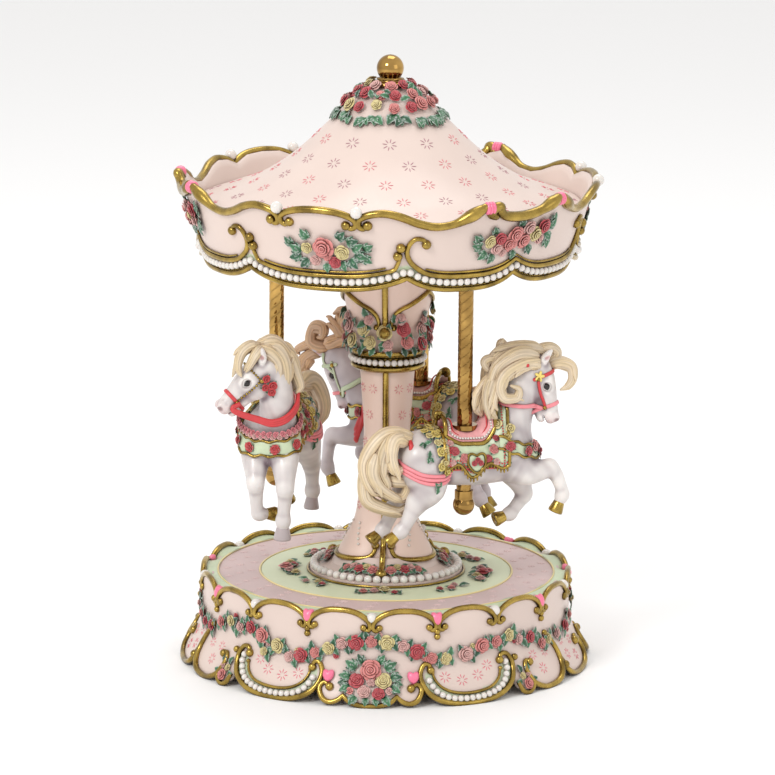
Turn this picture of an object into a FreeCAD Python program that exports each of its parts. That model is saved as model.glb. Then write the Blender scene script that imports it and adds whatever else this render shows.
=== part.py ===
import FreeCAD, Part
import math
import os

import Sketcher
from FreeCAD import Rotation, Vector

# Three-horse carousel music box. Millimetres, +Z up, origin on the floor under the centre column.
# Angles called "bearing" run from the front (-Y) towards +X.
os.makedirs("parts", exist_ok=True)
doc = FreeCAD.newDocument("carousel_music_box")

DIMENSIONS = {
    # base
    "base_phase": -4.2, "skirt_height": 40.0, "skirt_wall": 4.0, "skirt_top_radius": 89.0,
    "skirt_foot_radius": 97.5, "skirt_lobe": 1.3, "deck_bottom": 38.5, "deck_top": 42.0, "deck_radius": 84.6,
    "inlay_radius": 60.6, "inlay_depth": 0.8, "plate_bottom": 12.0, "plate_top": 15.0, "plate_radius": 84.0,
    "screw_circle": 78.0, "arch_radius": 89.4, "arch_width": 15.4, "arch_rise": 9.0, "arch_top": 44.6,
    # column
    "foot_radius": 37.0, "foot_top": 53.0, "column_radius": 21.8, "waist_radius": 10.8, "waist_height": 107.0,
    "column_bore": 8.0, "column_head_radius": 24.0, "column_top": 212.0, "wreath_height": 164.0,
    # canopy
    "canopy_phase": -20.0, "canopy_foot_radius": 89.0, "canopy_rim_radius": 99.5, "canopy_wall": 3.0,
    "ceiling_bottom": 206.0, "ceiling_thickness": 3.0, "ceiling_radius": 88.5, "ceiling_hole": 27.0,
    "roof_radius": 94.0, "roof_foot": 224.0, "roof_top": 279.0, "roof_thickness": 3.0,
    "finial_ball": 6.5, "finial_height": 288.0,
    # lift and drive
    "cam_radius": 30.0, "cam_height": 219.0, "cam_throw": 4.0, "cam_bearing": -94.0, "cam_gap": 0.3,
    "shaft_radius": 2.0, "shaft_bottom": 23.0, "shaft_top": 282.0, "running_fit": 0.05,
    "pole_circle": 54.6, "pole_radius": 3.6, "pole_bottom": 88.0, "pole_top": 222.0, "pole_bearing": 42.3,
    "bush_radius": 6.5, "pole_ball": 5.2,
    # movement
    "bed_bottom": 17.0, "bed_top": 19.0, "barrel_radius": 13.6, "barrel_bottom": 20.5, "barrel_top": 27.6,
    "crown_teeth": 48, "pinion_teeth": 8, "tooth_radius": 15.0, "tooth_width": 0.5, "drum_axis": 31.1,
    "drum_radius": 6.0, "drum_start": 19.5, "drum_end": 40.5, "arbor_radius": 1.0,
    "fan_x": 48.0, "fan_y": -7.0,
}
sheet = doc.addObject("Spreadsheet::Sheet", "dims")
for row, (alias, value) in enumerate(DIMENSIONS.items(), start=1):
    sheet.set(f"A{row}", alias)
    sheet.set(f"B{row}", str(value))
    sheet.setAlias(f"B{row}", alias)
doc.recompute()

FOLDS = 3
FOLD = 360.0 / FOLDS
nodes = []


def dim(alias):
    return float(getattr(sheet, alias))


def spot(bearing, radius, height=0.0):
    """A point at a bearing from the front, a radius and a height."""
    angle = math.radians(bearing)
    return Vector(radius * math.sin(angle), -radius * math.cos(angle), height)


def facing(bearing, radius, height, lean=0.0):
    """A frame on a wall: X runs along the wall, Z points outward, Y points up (leaning out at the foot)."""
    turn = Rotation(Vector(0, 0, 1), bearing) * Rotation(Vector(1, 0, 0), 90.0 - lean)
    return FreeCAD.Placement(spot(bearing, radius, height), turn)


def keep(name, thing, placement=None):
    """Adds a finished document object, or a bare shape and its placement, as the node of that name."""
    if isinstance(thing, Part.Shape):
        holder = doc.addObject("Part::Feature", name)
        holder.Shape = thing
        holder.Placement = placement or FreeCAD.Placement()
        thing = holder
    thing.Label = name
    nodes.append(thing)
    return thing


def turned(name, outline):
    """A turned body: a closed outline of (radius, height) expressions revolved about the Z axis."""
    body = doc.addObject("PartDesign::Body", name)
    sketch = body.newObject("Sketcher::SketchObject", name + "_outline")
    plane = next(f for f in body.Origin.OriginFeatures if f.Role == "XZ_Plane")
    sketch.AttachmentSupport = (plane, "")
    sketch.MapMode = "FlatFace"
    points = [Vector(worth(r), worth(z), 0) for r, z in outline]
    count = len(points)
    for i, point in enumerate(points):
        sketch.addGeometry(Part.LineSegment(point, points[(i + 1) % count]), False)
    for i in range(count):
        sketch.addConstraint(Sketcher.Constraint("Coincident", i, 2, (i + 1) % count, 1))
    for i, (r, z) in enumerate(outline):
        if r == "0":
            sketch.addConstraint(Sketcher.Constraint("PointOnObject", i, 1, -2))
        else:
            at = sketch.addConstraint(Sketcher.Constraint("DistanceX", -1, 1, i, 1, points[i].x))
            sketch.setExpression(f"Constraints[{at}]", linked(r))
        at = sketch.addConstraint(Sketcher.Constraint("DistanceY", -1, 1, i, 1, points[i].y))
        sketch.setExpression(f"Constraints[{at}]", linked(z))
    revolution = body.newObject("PartDesign::Revolution", name + "_turning")
    revolution.Profile = sketch
    revolution.ReferenceAxis = (sketch, ["V_Axis"])
    revolution.Angle = 360.0
    doc.recompute()
    return keep(name, body)


def linked(expression):
    """An expression of aliases written as links to the sheet."""
    words = expression.replace("(", " ( ").replace(")", " ) ").split()
    return " ".join("dims." + w if w in DIMENSIONS else w for w in words)


def worth(expression):
    """The number that an expression of aliases, numbers, + - * and / comes to, read left to right."""
    words = expression.split()
    total = dim(words[0]) if words[0] in DIMENSIONS else float(words[0])
    for sign, word in zip(words[1::2], words[2::2]):
        value = dim(word) if word in DIMENSIONS else float(word)
        total = {"+": total + value, "-": total - value, "*": total * value, "/": total / value}[sign]
    return total


def cylinder(name, radius, height, x="0", y="0", z="0"):
    """A Part::Cylinder whose radius, height and place are bound to the sheet."""
    solid = doc.addObject("Part::Cylinder", name)
    solid.setExpression("Radius", linked(radius))
    solid.setExpression("Height", linked(height))
    for axis, value in (("x", x), ("y", y), ("z", z)):
        solid.setExpression(f"Placement.Base.{axis}", linked(value))
    return solid


def block(name, size, corner):
    """A Part::Box whose three sizes and corner are bound to the sheet."""
    solid = doc.addObject("Part::Box", name)
    for side, value in zip(("Length", "Width", "Height"), size):
        solid.setExpression(side, linked(value))
    for axis, value in zip("xyz", corner):
        solid.setExpression(f"Placement.Base.{axis}", linked(value))
    return solid


def joined(name, parts):
    fuse = doc.addObject("Part::MultiFuse", name)
    fuse.Shapes = parts
    doc.recompute()
    return fuse


def less(name, base, tool):
    cut = doc.addObject("Part::Cut", name)
    cut.Base = base
    cut.Tool = tool
    doc.recompute()
    return cut


def ring_edge(corner, samples=72):
    """A closed smooth edge through corner(bearing) -> (radius, height)."""
    curve = Part.BSplineCurve()
    points = [spot(b, *corner(b)) for b in (i * 360.0 / samples for i in range(samples))]
    curve.interpolate(Points=points, PeriodicFlag=True)
    return curve.toShape()


def ring_solid(corners):
    """A closed ring whose cross-section is the polygon of the corner functions."""
    edges = [ring_edge(c) for c in corners]
    faces = [Part.makeRuledSurface(edges[i - 1], edges[i]) for i in range(len(edges))]
    shell = Part.makeShell([f for surface in faces for f in surface.Faces])
    solid = Part.makeSolid(shell)
    if solid.Volume < 0:
        solid.reverse()
    return solid


def balls(places, radius):
    return Part.makeCompound([Part.makeSphere(radius, place) for place in places])


def arc_tube(placement, radius, thickness, start, end):
    """A bent rod: part of a torus in the placement's XY plane, angles from its X axis."""
    rod = Part.makeTorus(radius, thickness, Vector(), Vector(0, 0, 1), 0, 360, end - start)
    rod.rotate(Vector(), Vector(0, 0, 1), start)
    rod.Placement = placement.multiply(rod.Placement)
    return rod


def radial_tube(bearing, height, outer, inner, reach):
    """A tube whose axis points outward at a bearing, for trimming a skin to a ring."""
    out = spot(bearing, 1.0)
    start = Vector(0, 0, height)
    return Part.makeCylinder(outer, reach, start, out).cut(Part.makeCylinder(inner, reach, start, out))


def fold_bearings(phase, *offsets):
    """The bearings that the offsets come to in each of the three folds."""
    return [phase + FOLD * k + offset for k in range(FOLDS) for offset in offsets]


def half_bearings(phase, *offsets):
    """The bearings that the offsets come to on the front half and on the back half."""
    return [phase + side + offset for side in (0.0, 180.0) for offset in offsets]


def blended(bearing, stops, period=FOLD):
    """A height that eases from stop to stop; stops are (bearing within the period, height)."""
    at = bearing % period
    ring = stops + [(stops[0][0] + period, stops[0][1])]
    if at < stops[0][0]:
        at += period
    for (b0, h0), (b1, h1) in zip(ring, ring[1:]):
        if b0 <= at <= b1:
            return h0 + (h1 - h0) * (1 - math.cos(math.pi * (at - b0) / (b1 - b0))) / 2
    return stops[-1][1]


# ---------------------------------------------------------------- base
BASE = dim("base_phase")
lobe = dim("skirt_lobe")


def skirt_wave(bearing):
    return lobe * math.cos(math.radians(6 * (bearing - BASE)))


def skirt_ring(radius, height, waves):
    return ring_edge(lambda b: (radius + waves * skirt_wave(b), height))


def skirt_loft(inset):
    """The skirt's flared drum, its walls set in by inset."""
    foot = dim("skirt_foot_radius") - inset
    top = dim("skirt_top_radius") - inset
    levels = ((foot, 0.0, 1.0), (foot + 0.9, 7.0, 1.0), (top + 2.6, 17.0, 0.4), (top + 0.6, 27.0, 0.0),
              (top, dim("skirt_height"), 0.0))
    return Part.makeLoft([Part.Wire(skirt_ring(*level)) for level in levels], True, False)


def skirt_notches():
    """Round cutters that scallop the skirt's lower edge."""
    cutters = []
    for bearing in half_bearings(BASE, -15.0, 15.0, -45.0, 45.0, -68.0, 68.0):
        cutters.append(Part.makeCylinder(7.0, 40.0, spot(bearing, 70.0, -2.5), spot(bearing, 1.0)))
    return cutters


notches = skirt_notches()
skirt = skirt_loft(0.0).cut(skirt_loft(dim("skirt_wall"))).cut(notches)
ledge = Part.makeCylinder(86.5, 4.0, Vector(0, 0, 34.5)).cut(Part.makeCylinder(82.0, 4.0, Vector(0, 0, 34.5)))
bosses = []
for bearing in fold_bearings(60.0, 0.0):
    foot = spot(bearing, dim("screw_circle"), dim("plate_top"))
    arm = Part.makeBox(9.0, 12.0, 22.0, Vector(-4.5, -dim("screw_circle") - 11.5, dim("plate_top")))
    arm.rotate(Vector(), Vector(0, 0, 1), bearing)
    boss = Part.makeCylinder(4.5, 22.0, foot).fuse(arm)
    bosses.append(boss.cut(Part.makeCylinder(1.5, 12.0, foot)))
keep("base_skirt", skirt.fuse([ledge] + bosses))

turned("deck_plate", [
    ("10", "deck_bottom"), ("deck_radius", "deck_bottom"), ("deck_radius", "deck_top"),
    ("inlay_radius", "deck_top"), ("inlay_radius", "deck_top - inlay_depth"),
    ("37.5", "deck_top - inlay_depth"), ("37.5", "deck_top"), ("10", "deck_top")])
turned("deck_inlay", [
    ("37.6", "deck_top - inlay_depth"), ("inlay_radius - 0.1", "deck_top - inlay_depth"),
    ("inlay_radius - 0.1", "deck_top + 0.2"), ("37.6", "deck_top + 0.2")])

spray_centres = fold_bearings(BASE, 0.0, 35.0, -35.0)
sprays = [spot(b + step, 50.0, 44.6) for b in spray_centres for step in (-9, -4.5, 0, 4.5, 9)]
sprays += [spot(b + step, 30.0, 48.6) for b in fold_bearings(BASE, 22.0, -22.0) for step in (-7.5, 0, 7.5)]
keep("deck_rose_sprays", balls(sprays, 1.9))

plate_holes = [cylinder("plate_key_hole", "3.6", "plate_top - plate_bottom", z="plate_bottom")]
for k, bearing in enumerate(fold_bearings(60.0, 0.0)):
    place = spot(bearing, dim("screw_circle"))
    plate_holes.append(cylinder(f"plate_screw_hole_{k}", "1.5", "plate_top - plate_bottom",
                                str(place.x), str(place.y), "plate_bottom"))
keep("bottom_plate", less(
    "bottom_plate", cylinder("plate_disc", "plate_radius", "plate_top - plate_bottom", z="plate_bottom"),
    joined("plate_holes", plate_holes)))
screws = []
for bearing in fold_bearings(60.0, 0.0):
    seat = spot(bearing, dim("screw_circle"), dim("plate_bottom"))
    screws.append(Part.makeCylinder(1.5, 13.0, seat).fuse(
        Part.makeCylinder(3.2, 1.8, seat - Vector(0, 0, 1.8))))
keep("bottom_screws", Part.makeCompound(screws))

# Gold arches on the top edge, with a ball where two arches meet.
half = dim("arch_width")
rise = dim("arch_rise")
bow = (half ** 2 + rise ** 2) / (2 * rise)
sweep = math.degrees(math.asin(half / bow)) - 9.0
arch_bearings = fold_bearings(BASE, *(10.0 + 20.0 * i for i in range(6)))
meeting_bearings = [b - 10.0 for b in arch_bearings]
arches = []
for bearing in arch_bearings:
    seat = facing(bearing, dim("arch_radius"), dim("arch_top") - bow)
    arches.append(arc_tube(seat, bow, 1.3, 90 - sweep, 90 + sweep))
for bearing in meeting_bearings:
    arches.append(Part.makeSphere(1.9, spot(bearing, dim("arch_radius") + 0.6, dim("arch_top") - rise - 0.6)))
keep("base_arch_trim", Part.makeCompound(arches))
rim_pearls = [spot(b, 88.6, 41.0) for b in meeting_bearings[0::2]]
keep("base_rim_hearts", balls([spot(b, 88.6, 41.0) for b in meeting_bearings[1::2]], 3.0))


def garland_height(bearing):
    return blended(bearing - BASE, [(0, 29.0), (27, 20.5), (46, 28.5), (66, 21.5), (90, 25.0),
                                    (114, 21.5), (134, 28.5), (153, 20.5)], 180.0)


GARLAND_ROSES = 81
garland = [i * 360.0 / GARLAND_ROSES for i in range(GARLAND_ROSES)]
keep("base_rose_garland", balls([spot(b, 92.0, garland_height(b)) for b in garland], 3.0))
bouquet_places = []
for bearing in half_bearings(BASE, 0.0):
    bouquet_places.append(spot(bearing, 98.5, 10.5))
    for turn in range(-135, 180, 45):
        across = math.sin(math.radians(turn))
        up = math.cos(math.radians(turn))
        bouquet_places.append(spot(bearing + 5.6 * across, 98.0 - 1.6 * up, 10.5 + 9.2 * up))
for bearing in half_bearings(BASE, 48.0, -48.0):
    for step in (0.0, -4.2, 4.2):
        bouquet_places.append(spot(bearing + step, 98.0, 11.0))
keep("base_bouquets", balls(bouquet_places, 3.3))

lean = 28.0
crescents = []
crescent_pearls = []
for bearing in half_bearings(BASE, 29.0, -29.0):
    seat = facing(bearing, 94.6, 15.5, lean)
    crescents.append(arc_tube(seat, 11.5, 1.2, 185, 355))
    crescents.append(arc_tube(seat, 7.3, 0.9, 190, 350))
    for k in range(11):
        around = math.radians(192 + 15.6 * k)
        crescent_pearls.append(seat.multVec(Vector(9.3 * math.cos(around), 9.3 * math.sin(around), 0.8)))
keep("base_crescent_trim", Part.makeCompound(crescents))
keep("base_pearls", Part.makeCompound([balls(rim_pearls, 2.7), balls(crescent_pearls, 1.1)]))
lower_corners = [
    lambda b: (dim("skirt_foot_radius") + 0.7 + skirt_wave(b), 0.6),
    lambda b: (dim("skirt_foot_radius") + 2.4 + skirt_wave(b), 0.8),
    lambda b: (dim("skirt_foot_radius") + 2.4 + skirt_wave(b), 2.6),
    lambda b: (dim("skirt_foot_radius") + 1.0 + skirt_wave(b), 3.2)]
keep("base_lower_trim", ring_solid(lower_corners).cut(notches))

# ---------------------------------------------------------------- centre column
turned("column_foot", [
    ("column_radius + 0.1", "deck_top"), ("foot_radius", "deck_top"), ("foot_radius", "deck_top + 2"),
    ("32", "deck_top + 3.2"), ("27", "foot_top - 5.5"), ("24", "foot_top - 2"),
    ("column_radius + 0.6", "foot_top"), ("column_radius + 0.1", "foot_top")])
COLUMN = [
    ("column_radius", "deck_top"), ("column_radius", "foot_top + 1"), ("18.1", "62.5"), ("15", "69"),
    ("13.2", "80.5"), ("waist_radius", "waist_height"), ("12", "126"), ("13", "141"), ("15", "153"),
    ("17.5", "wreath_height"), ("21", "180"), ("column_head_radius", "196"),
    ("column_head_radius", "column_top")]
turned("column_shaft", COLUMN + [("column_bore", "column_top"), ("column_bore", "deck_top")])

column_points = [(worth(r), worth(z)) for r, z in COLUMN[1:-1]]


def column_skin(thickness, below, above):
    """A thin skin on the column between two heights, slightly let into it."""
    def side(offset):
        return [Vector(r + offset, 0, z) for r, z in column_points]
    wire = Part.makePolygon(side(-0.3) + side(thickness)[::-1] + [side(-0.3)[0]])
    skin = Part.Face(wire).revolve(Vector(), Vector(0, 0, 1), 360)
    slab = Part.makeBox(80, 80, above - below, Vector(-40, -40, below))
    return skin.common(slab)


ribs = column_skin(1.4, 54.5, 196.0)
rib_slabs = []
for bearing in fold_bearings(BASE, 0.0):
    slab = Part.makeBox(3.0, 40.0, 160.0, Vector(-1.5, -40.0, 50.0))
    slab.rotate(Vector(), Vector(0, 0, 1), bearing)
    rib_slabs.append(slab)
rib_set = ribs.common(Part.makeCompound(rib_slabs))
rib_balls = [Part.makeSphere(2.8, spot(b, 31.5, 47.2)) for b in fold_bearings(BASE, 0.0)]

lower_skin = column_skin(1.2, 55.0, 100.0)
lower_hoops = [radial_tube(b, 84.0, 11.5, 9.7, 40.0) for b in fold_bearings(BASE, 60.0)]
below = Part.makeBox(80, 80, 34, Vector(-40, -40, 50))
lower_trim = [s for hoop in lower_hoops for s in lower_skin.common(hoop).common(below).Solids]
upper_skin = column_skin(1.2, 165.0, 195.0)
upper_hoops = [radial_tube(b, 170.0, 12.5, 10.7, 40.0) for b in fold_bearings(BASE, 60.0)]
above = Part.makeBox(80, 80, 30, Vector(-40, -40, 173.5))
upper_trim = [s for hoop in upper_hoops for s in upper_skin.common(hoop).common(above).Solids]
keep("column_trims", Part.makeCompound(rib_set.Solids + rib_balls + lower_trim + upper_trim))
turned("column_ring_trim", [
    ("14.6", "143"), ("17.6", "143"), ("17.6", "145.2"), ("16.2", "145.6"), ("16.2", "150.2"),
    ("17.8", "150.6"), ("17.8", "152.8"), ("14.6", "152.8")])


def pearl_ring(count, radius, height, pearl):
    return balls([spot(i * 360.0 / count, radius, height) for i in range(count)], pearl)


knob_pearls = balls([spot(b, 13.8, 88.6) for b in fold_bearings(BASE, -14.0, 14.0)], 1.6)
keep("column_pearls", Part.makeCompound([pearl_ring(34, 17.4, 147.9, 1.5), knob_pearls]))
keep("foot_pearls", pearl_ring(51, 35.0, 45.4, 2.0))
wreath = [spot(i * FOLD / 5, 20.6, dim("wreath_height") - 4.0) for i in range(15)]
wreath += [spot((i + 0.5) * FOLD / 5, 21.6, dim("wreath_height") + 4.4) for i in range(15)]
keep("column_rose_wreath", balls(wreath, 3.6))
column_screws = []
for bearing in fold_bearings(90.0, 0.0):
    seat = spot(bearing + 30.0, 15.0, dim("deck_bottom"))
    column_screws.append(Part.makeCylinder(1.5, 14.0, seat).fuse(
        Part.makeCylinder(2.8, 1.5, seat - Vector(0, 0, 1.5))))
keep("column_screws", Part.makeCompound(column_screws))
bushes = []
for bottom in (dim("deck_top"), dim("column_top") - 8.0):
    bushes.append(Part.makeCylinder(dim("column_bore"), 8.0, Vector(0, 0, bottom)).cut(
        Part.makeCylinder(dim("shaft_radius") + dim("running_fit"), 8.0, Vector(0, 0, bottom))))
keep("shaft_bushes", Part.makeCompound(bushes))

# Tilted ring on the column's head: its sloping rim is what lifts the poles in turn.
throw = dim("cam_throw")
cam_blank = Part.makeCylinder(dim("cam_radius"), 18.0, Vector(0, 0, dim("column_top")))
cam_slope = math.degrees(math.atan2(throw, dim("cam_radius")))
cap = Part.makeBox(120, 120, 40, Vector(-60, -60, 0))
cap.rotate(Vector(), Vector(1, 0, 0), -cam_slope)
cap.rotate(Vector(), Vector(0, 0, 1), dim("cam_bearing"))
cap.translate(Vector(0, 0, dim("cam_height")))
keep("lift_cam", cam_blank.cut(cap).cut(Part.makeCylinder(dim("column_bore"), 20.0, Vector(0, 0, 212.0))))

# ---------------------------------------------------------------- canopy
CANOPY = dim("canopy_phase")


def canopy_foot(bearing):
    """Height of the scalloped lower edge: one wide scallop and two narrower ones in each fold."""
    return blended(bearing - CANOPY, [(0, 196.5), (25.6, 202.6), (43.0, 196.5), (60, 202.6),
                                      (77.0, 196.5), (94.4, 202.6)])


def canopy_rim(bearing):
    """Height of the waving rim."""
    return blended(bearing - CANOPY, [(0, 234.0), (17, 226.5), (33, 227.5), (48, 234.5), (60, 232.0),
                                      (72, 234.5), (87, 227.5), (103, 226.5)])


def canopy_rim_radius(bearing):
    return dim("canopy_rim_radius") - 0.8 * math.cos(math.radians(3 * (bearing - CANOPY)))


def wall_radius(bearing, height):
    """The slanting wall's outer radius at a height."""
    share = (height - canopy_foot(bearing)) / (canopy_rim(bearing) - canopy_foot(bearing))
    return dim("canopy_foot_radius") + (canopy_rim_radius(bearing) - dim("canopy_foot_radius")) * share


def on_wall(rise, outset):
    """A corner function at a rise over the lower edge, set out from the wall."""
    return lambda b: (wall_radius(b, canopy_foot(b) + rise) + outset, canopy_foot(b) + rise)


def on_rim(rise, outset):
    return lambda b: (canopy_rim_radius(b) + outset, canopy_rim(b) + rise)


inset = -dim("canopy_wall")
keep("canopy_shell", ring_solid([on_wall(0, inset), on_wall(0, 0), on_rim(0, 0), on_rim(0, inset)]))
keep("canopy_rim_trim", ring_solid([on_rim(-0.4, -3.4), on_rim(-0.4, 1.0), on_rim(1.2, 1.7),
                                    on_rim(2.8, 0.6), on_rim(2.8, -2.8)]))
canopy_lines = [
    ring_solid([on_wall(0, -0.3), on_wall(0, 1.6), on_wall(1.5, 1.6), on_wall(1.5, -0.3)]),
    ring_solid([on_wall(5.6, -0.3), on_wall(5.6, 1.5), on_wall(7.0, 1.5), on_wall(7.0, -0.3)])]
PEARLS = 156
string = [i * 360.0 / PEARLS for i in range(PEARLS)]
keep("canopy_pearl_string", balls([spot(b, *on_wall(3.55, 1.2)(b)) for b in string], 1.7))
keep("canopy_rim_pearls", balls(
    [spot(b, *on_rim(2.6, 0.0)(b)) for b in fold_bearings(CANOPY, 11.3, -11.3)], 3.0))
keep("canopy_rim_hearts", balls(
    [spot(b, *on_rim(2.4, 0.0)(b)) for b in fold_bearings(CANOPY, 48.0, 72.0)], 3.2))
scrolls = []
for bearing in fold_bearings(CANOPY, 25.6, 94.4):
    seat = facing(bearing, wall_radius(bearing, 216.0), 216.0, -17.0)
    scrolls.append(arc_tube(seat, 4.6, 1.2, -60, 240))
keep("canopy_lower_trim", Part.makeCompound(canopy_lines + scrolls))
BUNCH_STEPS = [(-13.5, 217.5), (-9, 216.5), (-4.5, 217.5), (0, 218.5),
               (4.5, 217.5), (9, 216.5), (13.5, 217.5)]
bouquets = []
for bearing in fold_bearings(CANOPY, 0.0, 60.0):
    for step, height in BUNCH_STEPS:
        bouquets.append(spot(bearing + step, wall_radius(bearing + step, height) + 0.8, height))
keep("canopy_bouquets", balls(bouquets, 3.5))

ROOF = [("roof_radius", "roof_foot"), ("80", "228.5"), ("63.8", "234.5"), ("45.4", "247.4"),
        ("27", "265.5"), ("18", "274"), ("8", "roof_top")]
turned("roof_shell", ROOF + [("8", "roof_top - roof_thickness")] + [
    (r, z + " - roof_thickness") for r, z in reversed(ROOF[:-1])])
roof_roses = [spot(i * 30.0, 13.5, 279.0) for i in range(12)]
roof_roses += [spot(i * 24.0 + 12.0, 19.5, 275.4) for i in range(15)]
keep("roof_rose_wreath", Part.makeCompound([
    balls(roof_roses[:12], 3.2), balls(roof_roses[12:], 3.6)]))
stem = Part.makeCylinder(9.0, 1.6, Vector(0, 0, 279.0))
collar = Part.makeCylinder(6.8, 2.4, Vector(0, 0, 280.6))
knob = Part.makeSphere(dim("finial_ball"), Vector(0, 0, dim("finial_height")))
socket = Part.makeCylinder(dim("shaft_radius"), dim("shaft_top") - 279.0, Vector(0, 0, 279.0))
keep("finial", stem.fuse([collar, knob]).cut(socket))

ceiling_holes = [cylinder("ceiling_column_hole", "ceiling_hole", "ceiling_thickness", z="ceiling_bottom")]
pole_bearings = fold_bearings(dim("pole_bearing"), 0.0)
for k, bearing in enumerate(pole_bearings):
    place = spot(bearing, dim("pole_circle"))
    ceiling_holes.append(cylinder(f"ceiling_pole_hole_{k}", "bush_radius", "ceiling_thickness",
                                  str(place.x), str(place.y), "ceiling_bottom"))
keep("ceiling_plate", less(
    "ceiling_plate", cylinder("ceiling_disc", "ceiling_radius", "ceiling_thickness", z="ceiling_bottom"),
    joined("ceiling_holes", ceiling_holes)))
pole_bushes = []
for bearing in pole_bearings:
    seat = spot(bearing, dim("pole_circle"), dim("ceiling_bottom") - 1.5)
    sleeve = Part.makeCylinder(dim("bush_radius"), 6.0, seat).fuse(
        Part.makeCylinder(dim("bush_radius") + 1.4, 1.5, seat))
    pole_bushes.append(sleeve.cut(Part.makeCylinder(dim("pole_radius") + dim("running_fit"), 6.0, seat)))
keep("pole_bushes", Part.makeCompound(pole_bushes))
keep("drive_shaft", cylinder("drive_shaft", "shaft_radius", "shaft_top - shaft_bottom", z="shaft_bottom"))
turned("drive_hub", [
    ("shaft_radius", "258"), ("6", "258"), ("6", "262"), ("25.5", "262"), ("25.5", "264.6"),
    ("shaft_radius", "264.6")])

# ---------------------------------------------------------------- musical movement
crown_count = int(dim("crown_teeth"))
pinion_count = int(dim("pinion_teeth"))
tooth = dim("tooth_width")
barrel = Part.makeCylinder(dim("barrel_radius"), dim("barrel_top") - dim("barrel_bottom"),
                           Vector(0, 0, dim("barrel_bottom")))
rim = Part.makeCylinder(dim("tooth_radius") + 1.2, 1.8, Vector(0, 0, dim("barrel_top") - 1.8))
teeth = []
for k in range(crown_count):
    corner = Vector(dim("tooth_radius") - 1.0, -tooth / 2, dim("barrel_top") - 0.2)
    cog = Part.makeBox(2.0, tooth, 1.7, corner)
    cog.rotate(Vector(), Vector(0, 0, 1), k * 360.0 / crown_count)
    teeth.append(cog)
bore = Part.makeCylinder(dim("shaft_radius"), 10.0, Vector(0, 0, dim("shaft_bottom")))
keep("spring_barrel", barrel.fuse([rim] + teeth).cut(bore))

axis = dim("drum_axis")
start = dim("drum_start")
end = dim("drum_end")
along = Vector(1, 0, 0)
drum_parts = [Part.makeCylinder(dim("arbor_radius"), 31.0, Vector(13.6, 0, axis), along),
              Part.makeCylinder(1.7, 2.2, Vector(13.9, 0, axis), along),
              Part.makeCylinder(dim("drum_radius"), end - start, Vector(start, 0, axis), along)]
for k in range(pinion_count):
    cog = Part.makeBox(2.0, tooth, 3.1, Vector(14.0, -tooth / 2, 0))
    cog.rotate(Vector(), along, (k + 0.5) * 360.0 / pinion_count)
    cog.translate(Vector(0, 0, axis))
    drum_parts.append(cog)
PIN_COLUMNS = 9
for column in range(PIN_COLUMNS):
    for row in range(5):
        pin = Part.makeCylinder(0.22, 0.9, Vector(start + 1.9 + 2.15 * column, 0, dim("drum_radius") - 0.4))
        pin.rotate(Vector(), along, row * 72.0 + column * 137.5)
        pin.translate(Vector(0, 0, axis))
        drum_parts.append(pin)
keep("music_drum", drum_parts[0].fuse(drum_parts[1:]))

bed_z = dim("bed_top")
bed = Part.makeBox(86.0, 48.0, bed_z - dim("bed_bottom"), Vector(-24.0, -22.0, dim("bed_bottom")))
bed_feet = [Part.makeCylinder(3.0, 2.1, Vector(x, y, dim("plate_top"))) for x in (-20, 58) for y in (-18, 22)]
posts = []
for x in (17.0, 42.0):
    post = Part.makeBox(1.2, 8.0, axis + 3.4 - bed_z, Vector(x, -4.0, bed_z))
    posts.append(post.cut(Part.makeCylinder(dim("arbor_radius") + dim("running_fit"), 2.0,
                                            Vector(x - 0.2, 0, axis), along)))
comb_rest = Part.makeBox(23.0, 7.0, axis - 0.5 - bed_z, Vector(18.5, 16.0, bed_z))
key_hole = Part.makeCylinder(3.2, 4.0, Vector(0, 0, dim("bed_bottom") - 1.0))
keep("movement_bedplate", bed.fuse(bed_feet + posts + [comb_rest]).cut(key_hole))
comb = Part.makeBox(23.0, 15.9, 1.0, Vector(18.5, 7.1, axis - 0.5))
slots = [Part.makeBox(0.35, 7.9, 2.0, Vector(20.6 + 1.075 * k, 7.0, axis - 1.0)) for k in range(18)]
keep("music_comb", comb.cut(slots))
keep("comb_screws", Part.makeCompound([
    Part.makeCylinder(1.6, 1.2, Vector(x, 19.5, axis + 0.5)) for x in (22.5, 30.0, 37.5)]))

fan_spot = Vector(dim("fan_x"), dim("fan_y"), 0)
fan_axle = Part.makeCylinder(0.8, 15.0, fan_spot + Vector(0, 0, bed_z + 0.6))
worm = Part.makeCylinder(1.5, 6.0, fan_spot + Vector(0, 0, bed_z + 8.0))
vanes = [Part.makeBox(9.0, 0.6, 4.0, fan_spot + Vector(-4.5, -0.3, bed_z + 2.0))]
keep("governor_fan", fan_axle.fuse([worm] + vanes))
frame_foot = Part.makeBox(5.0, 4.0, 18.0, fan_spot + Vector(-2.5, 6.0, bed_z))
frame_arm = Part.makeBox(5.0, 8.6, 1.6, fan_spot + Vector(-2.5, -2.6, bed_z + 14.4))
pivot = Part.makeCylinder(0.8 + dim("running_fit"), 2.0, fan_spot + Vector(0, 0, bed_z + 14.2))
keep("governor_frame", frame_foot.fuse(frame_arm).cut(pivot))

key_bow = joined("key_bow", [block("key_wing", ("22", "2.4", "6.5"), ("-11", "-1.2", "2.4")),
                             cylinder("key_stem", "2.6", "bed_top - 7 + 1", z="7")])
keep("winding_key", key_bow)

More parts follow.
